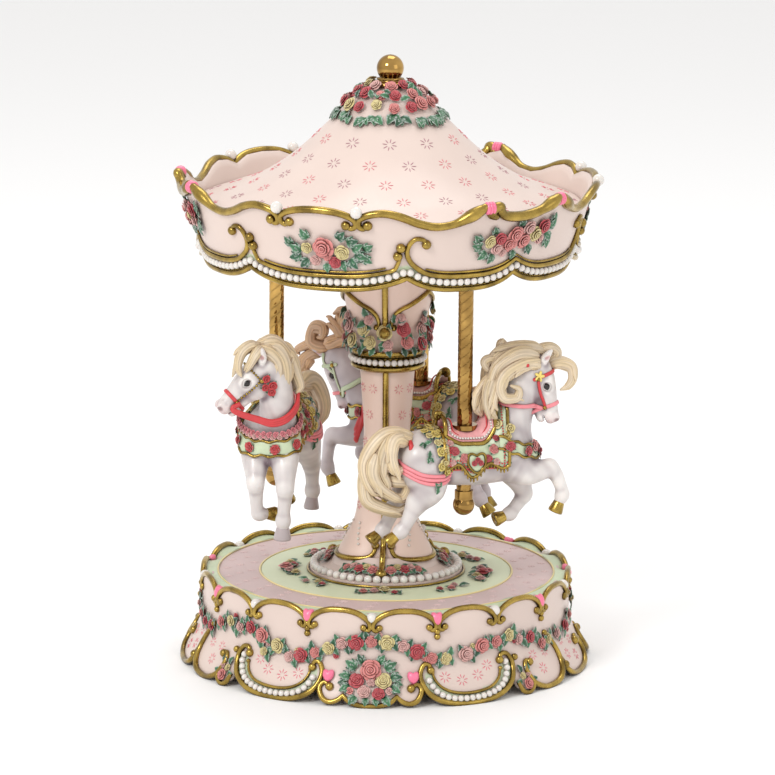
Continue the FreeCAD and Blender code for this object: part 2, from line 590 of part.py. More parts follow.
# ---------------------------------------------------------------- horses
# Each horse faces local +X with its pole on the local Z axis; heights are those of the lowest horse.
LOWEST_LIFT = -2.9
HORSES = {
    "1": {"bearing": -77.7, "heading": -105.0, "lift": 3.9,
          "neck": [(22, 0, 112, 10.5), (29, 0, 128, 8.2), (32, -2, 146, 6.4)],
          "head": [(33, -2, 151, 6.6), (39, -10, 141, 5.2), (43, -16, 131, 3.7)],
          "front": [[(20, 6.5, 99, 6.2), (37, 7, 93, 3.6), (33, 7, 80, 2.6), (38, 7, 74, 2.6)],
                    [(20, -6.5, 99, 6.2), (29, -7, 84, 3.6), (18, -7, 78, 2.6), (15, -7, 72, 2.6)]],
          "tail": [(-33, 0, 117, 5.0), (-44, 0, 114, 6.0), (-48, 0, 98, 6.6), (-45, 0, 84, 3.6)]},
    "2": {"bearing": 162.3, "heading": 156.0, "lift": -1.0,
          "neck": [(22, 0, 112, 10.5), (32, 0, 130, 8.4), (38, 0, 146, 6.6)],
          "head": [(40, 0, 150, 6.6), (47, 0, 139, 5.0), (46, 0, 128, 3.7)],
          "front": [[(20, 6.5, 99, 6.2), (38, 7, 97, 3.6), (43, 7, 84, 2.6), (39, 7, 79, 2.6)],
                    [(20, -6.5, 99, 6.2), (33, -7, 88, 3.6), (22, -7, 80, 2.6), (18, -7, 75, 2.6)]],
          "tail": [(-33, 0, 117, 5.0), (-43, 0, 114, 6.0), (-46, 0, 99, 6.6), (-50, 0, 86, 3.6)]},
    "3": {"bearing": 42.3, "heading": 15.0, "lift": -2.9,
          "neck": [(22, 0, 112, 10.5), (30, 0, 130, 8.4), (34, 0, 147, 6.6)],
          "head": [(36, 0, 152, 6.8), (42, 0, 141, 5.2), (45, 0, 128, 3.8)],
          "front": [[(20, 6.5, 99, 6.2), (38, 7, 95, 3.6), (47, 7, 84, 2.6), (45, 7, 77, 2.6)],
                    [(20, -6.5, 99, 6.2), (28, -7, 86, 3.6), (18, -7, 81, 2.6), (15, -7, 76, 2.6)]],
          "tail": [(-33, 0, 117, 5.0), (-42, 0, 113, 6.0), (-43, 0, 98, 6.6), (-48, 0, 86, 3.6)]},
}
TRUNK = [(-21, 0, 108, 13.2), (0, 0, 107.5, 12.2), (20, 0, 109, 12.4)]
HIND_LEG = [(-22, 6.5, 101, 7.6), (-29, 7, 87, 4.2), (-34, 7, 74, 2.6), (-38, 7, 66, 2.7)]


def chain(stations):
    """Balls joined by cones through (x, y, z, radius) stations."""
    solids = []
    for x, y, z, radius in stations:
        solids.append(Part.makeSphere(radius * 1.02, Vector(x, y, z)))
    for (x0, y0, z0, r0), (x1, y1, z1, r1) in zip(stations, stations[1:]):
        run = Vector(x1 - x0, y1 - y0, z1 - z0)
        thin = r1 if abs(r1 - r0) > 0.05 else r1 - 0.06
        solids.append(Part.makeCone(r0, thin, run.Length, Vector(x0, y0, z0), run))
    return solids


def mirrored(stations):
    return [(x, -y, z, radius) for x, y, z, radius in stations]


for key, horse in HORSES.items():
    raise_by = horse["lift"] - LOWEST_LIFT
    stand = FreeCAD.Placement(spot(horse["bearing"], dim("pole_circle"), raise_by),
                              Rotation(Vector(0, 0, 1), horse["heading"]))
    pole_hole = Part.makeCylinder(dim("pole_radius"), 80.0, Vector(0, 0, 70.0))
    trunk = chain(TRUNK)
    trunk = trunk[0].fuse(trunk[1:])
    limbs = chain(horse["neck"]) + chain(horse["head"]) + chain(horse["tail"])
    limbs += chain([horse["neck"][-1], horse["head"][0]])[2:]
    for leg in horse["front"] + [HIND_LEG, mirrored(HIND_LEG)]:
        limbs += chain(leg)
    for side in (-1, 1):
        x, y, z, radius = horse["head"][0]
        limbs.append(Part.makeCone(2.0, 0.4, 8.0, Vector(x - 1, y + 3.4 * side, z + 4.0)))
    keep(f"horse_{key}", trunk.fuse(limbs).cut(pole_hole), stand)

    seat = Part.makeCylinder(14.0, 30.0, Vector(-15, 0, 107.5), Vector(1, 0, 0))
    upper = Part.makeBox(40, 40, 40, Vector(-20, -20, 103.0))
    keep(f"saddle_{key}", seat.common(upper).cut(trunk).cut(pole_hole), stand)

    spiral_pole = Part.makeCylinder(dim("pole_radius"), dim("pole_top") - dim("pole_bottom"),
                                    Vector(0, 0, dim("pole_bottom")))
    keep(f"pole_{key}", spiral_pole, stand)

    rosette = Part.makeCylinder(6.0, 2.2, Vector(0, 0, 121.6)).cut(pole_hole)
    end_ball = Part.makeSphere(dim("pole_ball"), Vector(0, 0, 84.6)).fuse(
        Part.makeCylinder(4.4, 5.0, Vector(0, 0, 86.6))).cut(spiral_pole)
    keep(f"pole_fittings_{key}", Part.makeCompound([rosette, end_ball]), stand)

    inward = spot(horse["bearing"], -1.0)
    pole_spot = spot(horse["bearing"], dim("pole_circle"), dim("cam_height") - 1.0 + horse["lift"])
    reach = dim("pole_circle") - dim("cam_radius") - dim("cam_gap")
    peg = Part.makeCylinder(1.6, reach, pole_spot, inward)
    sleeve = Part.makeCylinder(5.0, 5.0, pole_spot - Vector(0, 0, 2.5))
    around_pole = Part.makeCylinder(dim("pole_radius"), 12.0, pole_spot - Vector(0, 0, 6.0))
    keep(f"follower_{key}", peg.fuse(sleeve).cut(around_pole))

doc.recompute()
problems = []
for thing in doc.Objects:
    if {"Invalid", "Error"} & set(thing.State):
        problems.append(f"{thing.Label}: {thing.State}")
for thing in nodes:
    if thing.Shape.isNull() or not thing.Shape.isValid() or not thing.Shape.Solids:
        problems.append(f"{thing.Label}: bad shape")
if problems:
    raise RuntimeError("; ".join(problems))
for thing in nodes:
    box = thing.Shape.BoundBox
    print(f"{thing.Label}: {len(thing.Shape.Solids)} solids, {thing.Shape.Volume:.0f} mm3, "
          f"z {box.ZMin:.1f} to {box.ZMax:.1f}")
    thing.Shape.exportStep(f"parts/{thing.Label}.step")
print(len(nodes), "nodes")
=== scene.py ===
import math
import random

import bpy
import numpy as np
from mathutils import Matrix, Vector


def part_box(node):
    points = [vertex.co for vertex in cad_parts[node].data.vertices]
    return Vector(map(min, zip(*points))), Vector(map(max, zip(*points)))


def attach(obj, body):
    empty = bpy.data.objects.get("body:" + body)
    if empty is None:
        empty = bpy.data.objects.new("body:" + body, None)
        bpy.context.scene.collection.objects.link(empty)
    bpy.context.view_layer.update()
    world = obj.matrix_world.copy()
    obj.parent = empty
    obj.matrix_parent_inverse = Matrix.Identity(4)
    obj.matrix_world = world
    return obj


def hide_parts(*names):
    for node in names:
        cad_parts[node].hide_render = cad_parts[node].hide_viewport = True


# Carousel music box. Lengths in this script are millimetres until a mesh is made; +Z up, -Y front.
# A "bearing" is an angle from the front (-Y) towards +X. A "rel" bearing counts from a part's own phase.
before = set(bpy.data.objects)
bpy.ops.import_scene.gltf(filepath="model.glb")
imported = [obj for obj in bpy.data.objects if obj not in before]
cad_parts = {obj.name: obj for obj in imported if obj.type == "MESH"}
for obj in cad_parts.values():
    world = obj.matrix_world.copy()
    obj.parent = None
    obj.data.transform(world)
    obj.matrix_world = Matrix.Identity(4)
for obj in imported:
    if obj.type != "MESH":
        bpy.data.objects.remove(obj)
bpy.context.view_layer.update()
MM = 0.001
dice = random.Random(11)


def node_box(node):
    """A CAD node's lowest and highest corner in millimetres."""
    low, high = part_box(node)
    return np.array(low) / MM, np.array(high) / MM


# ------------------------------------------------------------ colours (linear)
def paint(red, green, blue):
    """A linear colour from 0-255 display values."""
    def linear(value):
        value /= 255.0
        return value / 12.92 if value <= 0.04045 else ((value + 0.055) / 1.055) ** 2.4
    return np.array([linear(red), linear(green), linear(blue)])


PALE_PINK = paint(218, 199, 189)
COLUMN_PINK = paint(233, 207, 193)
DECK_PINK = paint(208, 184, 182)
MINT = paint(198, 212, 178)
DEEP_ROSE = paint(204, 74, 82)
SALMON = paint(232, 142, 136)
PALE_ROSE = paint(236, 184, 176)
CREAM = paint(234, 218, 152)
LEAF = paint(62, 120, 80)
LEAF_DARK = paint(36, 92, 60)
BEAD_PINK = paint(248, 130, 160)
ROSE_TINTS = (DEEP_ROSE, SALMON, PALE_ROSE, CREAM, SALMON)


# ------------------------------------------------------------ mesh building
class Clay:
    """Gathers closed shells, in millimetres, into one mesh with a tint for every point."""

    def __init__(self):
        self.points, self.tints, self.quads, self.tris = [], [], [], []
        self.count = 0

    def add(self, points, faces, tint):
        points = np.asarray(points, float)
        tint = np.asarray(tint, float)
        if tint.ndim == 1:
            tint = np.tile(tint, (len(points), 1))
        self.points.append(points)
        self.tints.append(tint)
        for group in faces if isinstance(faces, tuple) else (faces,):
            group = np.asarray(group, int)
            if len(group):
                (self.quads if group.shape[1] == 4 else self.tris).append(group + self.count)
        self.count += len(points)

    def place(self, shape, matrix, tint):
        """Adds a unit shape (points, faces, shade) through a 4x4 matrix; its shade multiplies the tint, which
        paints shade into the colour where it is below 1.
        """
        points, faces, shade = shape
        moved = points @ matrix[:3, :3].T + matrix[:3, 3]
        # Where the shade passes 1, as at the petals' lips, the colour is also mixed towards a pale
        # grey-white.
        light = np.clip(shade - 1.0, 0, 0.2)[:, None] * 3.5
        colors = np.asarray(tint)[None, :] * shade[:, None]
        self.add(moved, faces, np.clip(colors + (0.86 - colors) * light, 0, 1))

    def build(self, name, material, body, slot, replaces=(), smooth=True):
        quads = np.concatenate(self.quads) if self.quads else np.zeros((0, 4), int)
        tris = np.concatenate(self.tris) if self.tris else np.zeros((0, 3), int)
        points = np.concatenate(self.points) * MM
        mesh = bpy.data.meshes.new(name)
        mesh.vertices.add(len(points))
        mesh.vertices.foreach_set("co", points.ravel())
        loops = np.concatenate([quads.ravel(), tris.ravel()])
        mesh.loops.add(len(loops))
        mesh.loops.foreach_set("vertex_index", loops)
        sizes = np.concatenate([np.full(len(quads), 4), np.full(len(tris), 3)])
        mesh.polygons.add(len(sizes))
        mesh.polygons.foreach_set("loop_start", np.concatenate([[0], np.cumsum(sizes)[:-1]]))
        mesh.polygons.foreach_set("use_smooth", np.full(len(sizes), smooth))
        mesh.update(calc_edges=True)
        mesh.validate()
        tint = mesh.color_attributes.new("tint", "FLOAT_COLOR", "POINT")
        rgba = np.ones((len(points), 4))
        rgba[:, :3] = np.concatenate(self.tints)
        tint.data.foreach_set("color", rgba.ravel())
        piece = bpy.data.objects.new(name, mesh)
        bpy.context.scene.collection.objects.link(piece)
        mesh.materials.append(material)
        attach(piece, body)
        if replaces:
            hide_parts(*replaces)
        return piece


def grid_faces(rows, columns, wrap_rows=False, wrap_columns=False):
    """Quads over a rows x columns grid of points."""
    r = np.arange(rows if wrap_rows else rows - 1)
    c = np.arange(columns if wrap_columns else columns - 1)
    r, c = np.meshgrid(r, c, indexing="ij")
    r, c = r.ravel(), c.ravel()
    r1, c1 = (r + 1) % rows, (c + 1) % columns
    return np.stack([r * columns + c, r * columns + c1, r1 * columns + c1, r1 * columns + c], 1)


def smooth_path(points, count, closed=False):
    """count points along a Catmull-Rom curve through the given points, evenly spaced by length."""
    points = np.asarray(points, float)
    if closed:
        padded = np.vstack([points[-1], points, points[:2]])
    else:
        padded = np.vstack([2 * points[0] - points[1], points, 2 * points[-1] - points[-2]])
    fine = []
    for i in range(len(padded) - 3):
        p0, p1, p2, p3 = padded[i:i + 4]
        for t in np.linspace(0, 1, 16, endpoint=False):
            fine.append(0.5 * ((2 * p1) + (p2 - p0) * t + (2 * p0 - 5 * p1 + 4 * p2 - p3) * t * t
                               + (3 * p1 - 3 * p2 + p3 - p0) * t ** 3))
    fine.append(padded[-2] if not closed else fine[0])
    fine = np.array(fine)
    steps = np.concatenate([[0], np.cumsum(np.linalg.norm(np.diff(fine[:, :3], axis=0), axis=1))])
    at = np.linspace(0, steps[-1], count, endpoint=not closed)
    return np.stack([np.interp(at, steps, fine[:, k]) for k in range(fine.shape[1])], 1)


def unit(vectors):
    return vectors / np.maximum(np.linalg.norm(vectors, axis=-1, keepdims=True), 1e-12)


def sweep(clay, path, radius, tint, sides=10, closed=False, flat=1.0, up=None):
    """A rod along a path of points; radius may vary; flat squeezes it along the up direction."""
    path = np.asarray(path, float)
    count = len(path)
    radius = np.full(count, radius) if np.isscalar(radius) else np.asarray(radius, float)
    ahead = np.roll(path, -1, 0) - np.roll(path, 1, 0)
    if not closed:
        ahead[0], ahead[-1] = path[1] - path[0], path[-1] - path[-2]
    ahead = unit(ahead)
    if up is None:
        normal = np.zeros_like(path)
        start = np.cross(ahead[0], (0, 0, 1.0))
        if np.linalg.norm(start) < 0.2:
            start = np.cross(ahead[0], (1.0, 0, 0))
        normal[0] = unit(start)
        for i in range(1, count):
            step = normal[i - 1] - ahead[i] * (normal[i - 1] @ ahead[i])
            normal[i] = unit(step)
    else:
        up = np.asarray(up, float)
        up = np.tile(up, (count, 1)) if up.ndim == 1 else up
        normal = unit(up - ahead * (up * ahead).sum(1, keepdims=True))
    side = np.cross(ahead, normal)
    turn = np.linspace(0, 2 * np.pi, sides, endpoint=False)
    ring = normal[:, None, :] * np.cos(turn)[None, :, None] * flat + side[:, None, :] * np.sin(turn)[None,
        :, None]
    rings = path[:, None, :] + ring * radius[:, None, None]
    if closed:
        clay.add(rings.reshape(-1, 3), grid_faces(count, sides, True, True), tint)
        return
    caps = []
    for end, sign in ((0, -1.0), (count - 1, 1.0)):
        steps = (0.5, 0.85) if sign > 0 else (0.85, 0.5)
        cap = [path[end] + ahead[end] * sign * radius[end] * k + ring[end] * radius[end]
               * math.sqrt(1 - k * k)
               for k in steps]
        caps.append(cap)
    rows = np.stack(caps[0] + list(rings) + caps[1])
    points = rows.reshape(-1, 3)
    tips = np.array([path[0] - ahead[0] * radius[0], path[-1] + ahead[-1] * radius[-1]])
    total = len(rows) * sides
    loop = np.arange(sides)
    following = (loop + 1) % sides
    fan = np.concatenate([np.stack([np.full(sides, total), following, loop], 1),
                          np.stack([np.full(sides, total + 1), total - sides + loop,
                                    total - sides + following], 1)])
    if np.ndim(tint) == 2:
        tint = np.concatenate([np.repeat(tint[:1], 2 * sides, 0), np.repeat(tint, sides, 0),
                               np.repeat(tint[-1:], 2 * sides, 0), tint[:1], tint[-1:]])
    clay.add(np.vstack([points, tips]), (grid_faces(len(rows), sides, False, True), fan), tint)


def sphere_shape(rows=8, columns=14):
    """A unit ball: points, faces and an even shade."""
    lat = np.linspace(0, np.pi, rows + 1)[1:-1]
    lon = np.linspace(0, 2 * np.pi, columns, endpoint=False)
    points = [(math.sin(a) * math.cos(b), math.sin(a) * math.sin(b), math.cos(a)) for a in lat for b in lon]
    points += [(0, 0, 1), (0, 0, -1)]
    top, bottom = len(points) - 2, len(points) - 1
    loop = np.arange(columns)
    following = (loop + 1) % columns
    last = (rows - 2) * columns
    fans = np.concatenate([np.stack([np.full(columns, top), loop, following], 1),
                           np.stack([np.full(columns, bottom), last + following, last + loop], 1)])
    faces = (grid_faces(rows - 1, columns, False, True)[:, ::-1], fans)
    points = np.array(points)
    return points, faces, np.ones(len(points))


BALL = sphere_shape()
SMALL_BALL = sphere_shape(6, 10)


def pose(place, outward, spin=0.0, size=1.0, up=(0, 0, 1.0)):
    """A matrix that stands a shape's +Z along outward at a place, turned by spin and sized."""
    outward = np.array(outward, float) / np.linalg.norm(outward)
    across = np.cross(up, outward)
    if np.linalg.norm(across) < 1e-3:
        across = np.cross((0, 1.0, 0), outward)
    across = across / np.linalg.norm(across)
    upward = np.cross(outward, across)
    c, s = math.cos(spin), math.sin(spin)
    size = np.ones(3) * size
    matrix = np.eye(4)
    matrix[:3, 0] = (across * c + upward * s) * size[0]
    matrix[:3, 1] = (upward * c - across * s) * size[1]
    matrix[:3, 2] = outward * size[2]
    matrix[:3, 3] = place
    return matrix


def ball(clay, place, radius, tint, shape=None):
    clay.place(shape or BALL, pose(place, (0, 0, 1), size=radius), tint)


def sheet_shell(front, back, shade_front, shade_back):
    """A closed shell between two grids of points of the same size."""
    rows, columns = front.shape[:2]
    size = rows * columns
    f = grid_faces(rows, columns)
    edge = ([(0, c) for c in range(columns)] + [(r, columns - 1) for r in range(1, rows)]
            + [(rows - 1, c) for c in range(columns - 2, -1, -1)]
            + [(r, 0) for r in range(rows - 2, 0, -1)])
    ids = np.array([r * columns + c for r, c in edge])
    after = np.roll(ids, -1)
    rim = np.stack([after, ids, ids + size, after + size], 1)
    points = np.vstack([front.reshape(-1, 3), back.reshape(-1, 3)])
    faces = np.vstack([f, f[:, ::-1] + size, rim])
    shade = np.concatenate([shade_front.ravel(), shade_back.ravel()])
    return points, faces, shade


def merged(shapes):
    points, faces, shades, count = [], [], [], 0
    for p, f, s in shapes:
        groups = f if isinstance(f, tuple) else (f,)
        for group in groups:
            group = np.asarray(group)
            if group.shape[1] == 3:
                group = np.hstack([group, group[:, 2:3]])
            faces.append(group + count)
        points.append(p)
        shades.append(s)
        count += len(p)
    faces = np.vstack(faces)
    tri = faces[:, 2] == faces[:, 3]
    return np.vstack(points), (faces[~tri], faces[tri][:, :3]), np.concatenate(shades)


def petal(angle, spread, base, reach, height, curl, thickness, rows=4, columns=6):
    """One cupped petal about the +Z axis, from the base circle out to its curled lip."""
    v = np.linspace(0, 1, rows)[:, None]
    u = np.linspace(-1, 1, columns)[None, :]
    trim = v * (1 - 0.22 * u ** 2)
    around = angle + spread * u * (0.55 + 0.45 * trim)
    out = base + (reach - base) * trim ** 1.2 + curl * trim ** 4
    z = height * np.sin(trim * 1.35) / math.sin(1.35) - 0.9 * curl * trim ** 5
    def at(shift):
        r = out + shift
        return np.stack([r * np.cos(around), r * np.sin(around), z + 0 * around - 0.3 * shift * trim], -1)
    # Painted shade: the petal is darker at its base deep in the rose and darker again on its back (0.82); it
    # grows paler towards the lip.
    shade = 0.62 + 0.46 * trim + 0 * u
    return sheet_shell(at(thickness / 2), at(-thickness / 2), shade, shade * 0.82)


def rose_shape(layers, seed):
    """A rose of unit radius facing +Z, with a wound heart and layers of cupped petals."""
    chance = random.Random(seed)
    shapes = []
    # The heart and the cushion under the petals carry painted shade (0.6), as they lie deep in the rose.
    heart = sphere_shape(6, 10)
    shapes.append((heart[0] * (0.26, 0.26, 0.34) + (0, 0, 0.28), heart[1], np.full(len(heart[0]), 0.62)))
    cushion = sphere_shape(6, 12)
    shapes.append((cushion[0] * (0.72, 0.72, 0.34), cushion[1], np.full(len(cushion[0]), 0.6)))
    for count, base, reach, height, curl in layers:
        start = chance.uniform(0, 6.28)
        for k in range(count):
            angle = start + k * 2 * math.pi / count + chance.uniform(-0.12, 0.12)
            spread = math.pi / count * 1.35
            shapes.append(petal(angle, spread, base, reach * chance.uniform(0.94, 1.06),
                                height * chance.uniform(0.94, 1.06), curl, 0.085))
    return merged(shapes)


ROSES = [rose_shape([(2, 0.12, 0.2, 0.66, 0.03), (3, 0.22, 0.38, 0.62, 0.07), (4, 0.34, 0.62, 0.5, 0.12),
                     (5, 0.5, 0.86, 0.3, 0.16)], seed) for seed in (1, 2, 3)]
BUDS = [rose_shape([(3, 0.2, 0.36, 0.66, 0.07), (4, 0.36, 0.78, 0.42, 0.16)], seed) for seed in (4, 5)]


def leaf_shape():
    """A pointed leaf along +X from the origin, one unit long, its veined face towards +Z."""
    rows, columns = 9, 5
    v = np.linspace(0, 1, rows)[:, None]
    u = np.linspace(-1, 1, columns)[None, :]
    teeth = 1 + 0.26 * np.abs(np.sin(v * math.pi * 4.0))
    half = 0.29 * np.sin(np.pi * v ** 0.8) ** 0.8 * teeth + 0.01
    x = v - 0.05 * np.abs(u)
    y = half * u
    z = 0.10 * np.abs(u) * np.sin(np.pi * v) + 0.12 * np.sin(np.pi * v) - 0.05 * v
    front = np.stack([x + 0 * y, y, z + 0 * y], -1)
    back = front - np.array([0, 0, 0.09])
    # Painted shade: darker along the folded midrib and on the back (0.7), lighter at the raised edges; the
    # faint bands across the leaf stand for its veins.
    shade = 0.6 + 0.55 * np.abs(u) + 0.12 * np.cos(v * math.pi * 10)
    return sheet_shell(back, front, shade * 0.7, shade)


def heart_shape(rows=9, columns=20):
    """A plump heart bead of unit half-width facing +Z, its point towards -Y."""
    points, faces, shade = sphere_shape(rows, columns)
    points = points.copy()
    x, y, z = points.T
    fat = np.maximum(1e-6, np.hypot(x, y))
    turn = np.arctan2(x, y)
    outline = 0.86 - 0.30 * np.exp(-(turn / 0.42) ** 2) + 0.26 * np.exp(-((np.abs(turn) - math.pi)
        / 0.5) ** 2)
    outline += 0.18 * np.exp(-((np.abs(turn) - 0.75) / 0.45) ** 2)
    points = np.stack([x * outline, y * outline, z * 0.55], 1)
    return points, faces, shade


LEAF_SHAPE = leaf_shape()
HEART = heart_shape()


# ------------------------------------------------------------ materials
def material(name, color=None, rough=0.5, metal=0.0, coat=0.0, mottle=(0.06, 0.12), dark=None, crevice_shade_and_wash=0.0,
             rough_swing=0.12, bump=0.0, soft=0.0):
    """A painted or metal finish: mottled colour, wear that follows noise, and painted shade in crevices,
    which on the metals also stands for an antique wash.
    """
    mat = bpy.data.materials.new(name)
    mat.use_nodes = True
    tree = mat.node_tree
    shader = tree.nodes["Principled BSDF"]
    new, link = tree.nodes.new, tree.links.new
    place = new("ShaderNodeTexCoord").outputs["Object"]

    def noise(scale, detail=3.0):
        node = new("ShaderNodeTexNoise")
        node.inputs["Scale"].default_value = scale
        node.inputs["Detail"].default_value = detail
        link(place, node.inputs["Vector"])
        return node.outputs["Fac"]

    def mix(kind, factor, a, b):
        node = new("ShaderNodeMix")
        node.data_type = "RGBA"
        node.blend_type = kind
        for socket, value in ((node.inputs[0], factor), (node.inputs[6], a), (node.inputs[7], b)):
            if hasattr(value, "is_output"):
                link(value, socket)
            else:
                socket.default_value = value if np.isscalar(value) else (*value, 1.0)
        return node.outputs[2]

    def ramp(value, low, high):
        node = new("ShaderNodeMapRange")
        node.inputs["From Min"].default_value = 0.3
        node.inputs["From Max"].default_value = 0.7
        node.inputs["To Min"].default_value = low
        node.inputs["To Max"].default_value = high
        link(value, node.inputs["Value"])
        return node.outputs["Result"]

    if color is None:
        tint = new("ShaderNodeAttribute")
        tint.attribute_name = "tint"
        base = tint.outputs["Color"]
    else:
        base = color
    broad = noise(1000 * mottle[0])
    if dark is None and color is not None:
        dark = tuple(np.asarray(color) * 0.7)
    if dark is None:
        out = mix("MULTIPLY", ramp(broad, 0.0, mottle[1]), base, (0.45, 0.4, 0.42))
    else:
        out = mix("MIX", ramp(broad, 0.0, mottle[1]), base, dark)
    # Painted shade: ambient occlusion darkens the colour in crevices and creases; on the metals the brown
    # also stands for an antique wash.
    if crevice_shade_and_wash:
        shade_probe = new("ShaderNodeAmbientOcclusion")
        shade_probe.samples = 4
        shade_probe.inputs["Distance"].default_value = 0.0022
        link(out, shade_probe.inputs["Color"])
        shade = new("ShaderNodeMapRange")
        shade.inputs["From Min"].default_value = 0.15
        shade.inputs["From Max"].default_value = 0.85
        shade.inputs["To Min"].default_value = crevice_shade_and_wash
        shade.inputs["To Max"].default_value = 0.0
        link(shade_probe.outputs["AO"], shade.inputs["Value"])
        shade_and_wash_color = (0.10, 0.07, 0.045) if metal > 0.3 else (0.32, 0.20, 0.18)
        out = mix("MULTIPLY", shade.outputs["Result"], out, shade_and_wash_color)
    link(out, shader.inputs["Base Color"])
    fine = noise(900.0, 4.0)
    link(ramp(fine, rough - rough_swing / 2, rough + rough_swing / 2), shader.inputs["Roughness"])
    if bump:
        relief = new("ShaderNodeBump")
        relief.inputs["Strength"].default_value = 0.5
        relief.inputs["Distance"].default_value = bump * MM
        link(noise(1600.0, 4.0), relief.inputs["Height"])
        link(relief.outputs["Normal"], shader.inputs["Normal"])
    shader.inputs["Metallic"].default_value = metal
    shader.inputs["Coat Weight"].default_value = coat
    shader.inputs["Coat Roughness"].default_value = 0.18
    if soft:
        shader.inputs["Subsurface Weight"].default_value = soft
        shader.inputs["Subsurface Radius"].default_value = (0.9, 0.5, 0.4)
        shader.inputs["Subsurface Scale"].default_value = 0.001
    return mat


RESIN = material("pink_resin", rough=0.42, coat=0.12, mottle=(0.03, 0.12), crevice_shade_and_wash=0.45, bump=0.02)
FLORAL = material("rose_paint", rough=0.46, coat=0.1, mottle=(0.25, 0.16), crevice_shade_and_wash=0.9, bump=0.03)
DECK = material("deck_paint", rough=0.5, coat=0.05, mottle=(0.05, 0.25), crevice_shade_and_wash=0.55, bump=0.03)
GOLD = material("gold_paint", paint(190, 160, 78), rough=0.25, metal=0.95, coat=0.15, mottle=(0.12, 0.8),
                dark=paint(92, 72, 30), crevice_shade_and_wash=1.0, bump=0.05)
GOLD_TINT = np.array([1.0, 1.0, 1.0])
PEARL = material("pearl", paint(224, 220, 212), rough=0.2, coat=0.6, mottle=(0.3, 0.5),
                 dark=paint(214, 204, 202),
                 crevice_shade_and_wash=0.5, soft=0.1)
BEADS = material("pink_bead", paint(246, 126, 158), rough=0.3, coat=0.3, mottle=(0.3, 0.5),
                 dark=paint(224, 96, 132),
                 crevice_shade_and_wash=0.5)
BRASS = material("polished_brass", paint(204, 164, 94), rough=0.08, metal=1.0, mottle=(0.08, 0.7),
                 dark=paint(96, 66, 32), crevice_shade_and_wash=0.9, rough_swing=0.08)
HIDE = material("horse_resin", rough=0.36, coat=0.25, mottle=(0.12, 0.1), crevice_shade_and_wash=0.5, bump=0.02, soft=0.06)
HAIR = material("horse_hair", rough=0.42, coat=0.15, mottle=(0.2, 0.16), crevice_shade_and_wash=0.9, bump=0.04)
EYES = material("eye_gloss", rough=0.3, coat=0.25, mottle=(0.3, 0.1), rough_swing=0.02)
TACK = material("saddle_paint", rough=0.4, coat=0.2, mottle=(0.3, 0.14), crevice_shade_and_wash=0.9, bump=0.03)


# ------------------------------------------------------------ surfaces of revolution and drawing on them
BASE = -4.2
CANOPY = -20.0


def spun(bearing, radius, height):
    """Points at bearings (degrees), radii and heights."""
    a = np.radians(bearing)
    return np.stack(np.broadcast_arrays(np.sin(a) * radius, -np.cos(a) * radius, height), -1)


class Wall:
    """A surface round the Z axis: reach(bearing, height) is its radius."""

    def __init__(self, reach, mean):
        self.reach, self.mean = reach, mean

    def at(self, bearing, height, out=0.0):
        bearing, height = np.broadcast_arrays(np.asarray(bearing, float), np.asarray(height, float))
        return spun(bearing, self.reach(bearing, height) + out, height)

    def normal(self, bearing, height):
        slope = (self.reach(bearing, height + 0.5) - self.reach(bearing, height - 0.5))
        a = math.radians(bearing)
        return np.array([math.sin(a), -math.cos(a), -float(slope)])

    def trace(self, stops, count, out=0.0, phase=0.0, closed=False):
        """A smooth line through (bearing, height) stops, lying on the wall."""
        scale = math.pi * self.mean / 180
        flat = np.array([(b * scale, z) for b, z in stops])
        line = smooth_path(flat, count, closed)
        return self.at(line[:, 0] / scale + phase, line[:, 1], out)


def swell(count, middle, ends, thick_start=None, thick_end=None):
    """Radii along a scroll: slim ends, fuller middle."""
    t = np.linspace(0, 1, count)
    r = ends + (middle - ends) * np.minimum(1, 2.6 * np.minimum(t, 1 - t)) ** 0.7
    if thick_start:
        r = r + (thick_start - middle) * np.exp(-((t - 0.08) / 0.09) ** 2)
    if thick_end:
        r = r + (thick_end - middle) * np.exp(-((t - 0.92) / 0.09) ** 2)
    return r


def scroll(clay, wall, stops, radius, phase, out=0.6, ends=None, tips=(0, 0), thick=(None, None), count=60):
    """A gold scroll line with tapered ends and, where tips give a radius, a ball on an end."""
    path = wall.trace(stops, count, out, phase)
    sweep(clay, path, swell(count, radius, ends or radius * 0.7, *thick), GOLD_TINT, 10)
    for tip, end in zip(tips, (0, -1)):
        if tip:
            ball(clay, path[end], tip, GOLD_TINT)


def asterisk(clay, place, normal, size, tint, spin=0.0):
    """Eight short strokes round an empty centre."""
    for k in range(8):
        turn = spin + k * math.pi / 4
        m = pose(place, normal, turn)
        centre = m[:3, 3] + m[:3, 0] * size * 0.66
        m = pose(centre, normal, turn, (size * 0.34, size * 0.062, size * 0.05))
        clay.place(SMALL_BALL, m, tint)


def lathe(clay, outline, tint, columns=96, closed=True, wave=None):
    """A solid turned from a closed (radius, height) outline."""
    outline = np.asarray(outline, float)
    around = np.linspace(0, 360, columns, endpoint=False)
    r, z = outline[:, 0][:, None], outline[:, 1][:, None]
    points = spun(around[None, :], r + 0 * around[None, :], z + 0 * around[None, :])
    if wave is not None:
        points = wave(points, around)
    tint = np.asarray(tint, float)
    if tint.ndim == 2:
        tint = np.repeat(tint, columns, 0)
    clay.add(points.reshape(-1, 3), grid_faces(len(outline), columns, closed, True), tint)


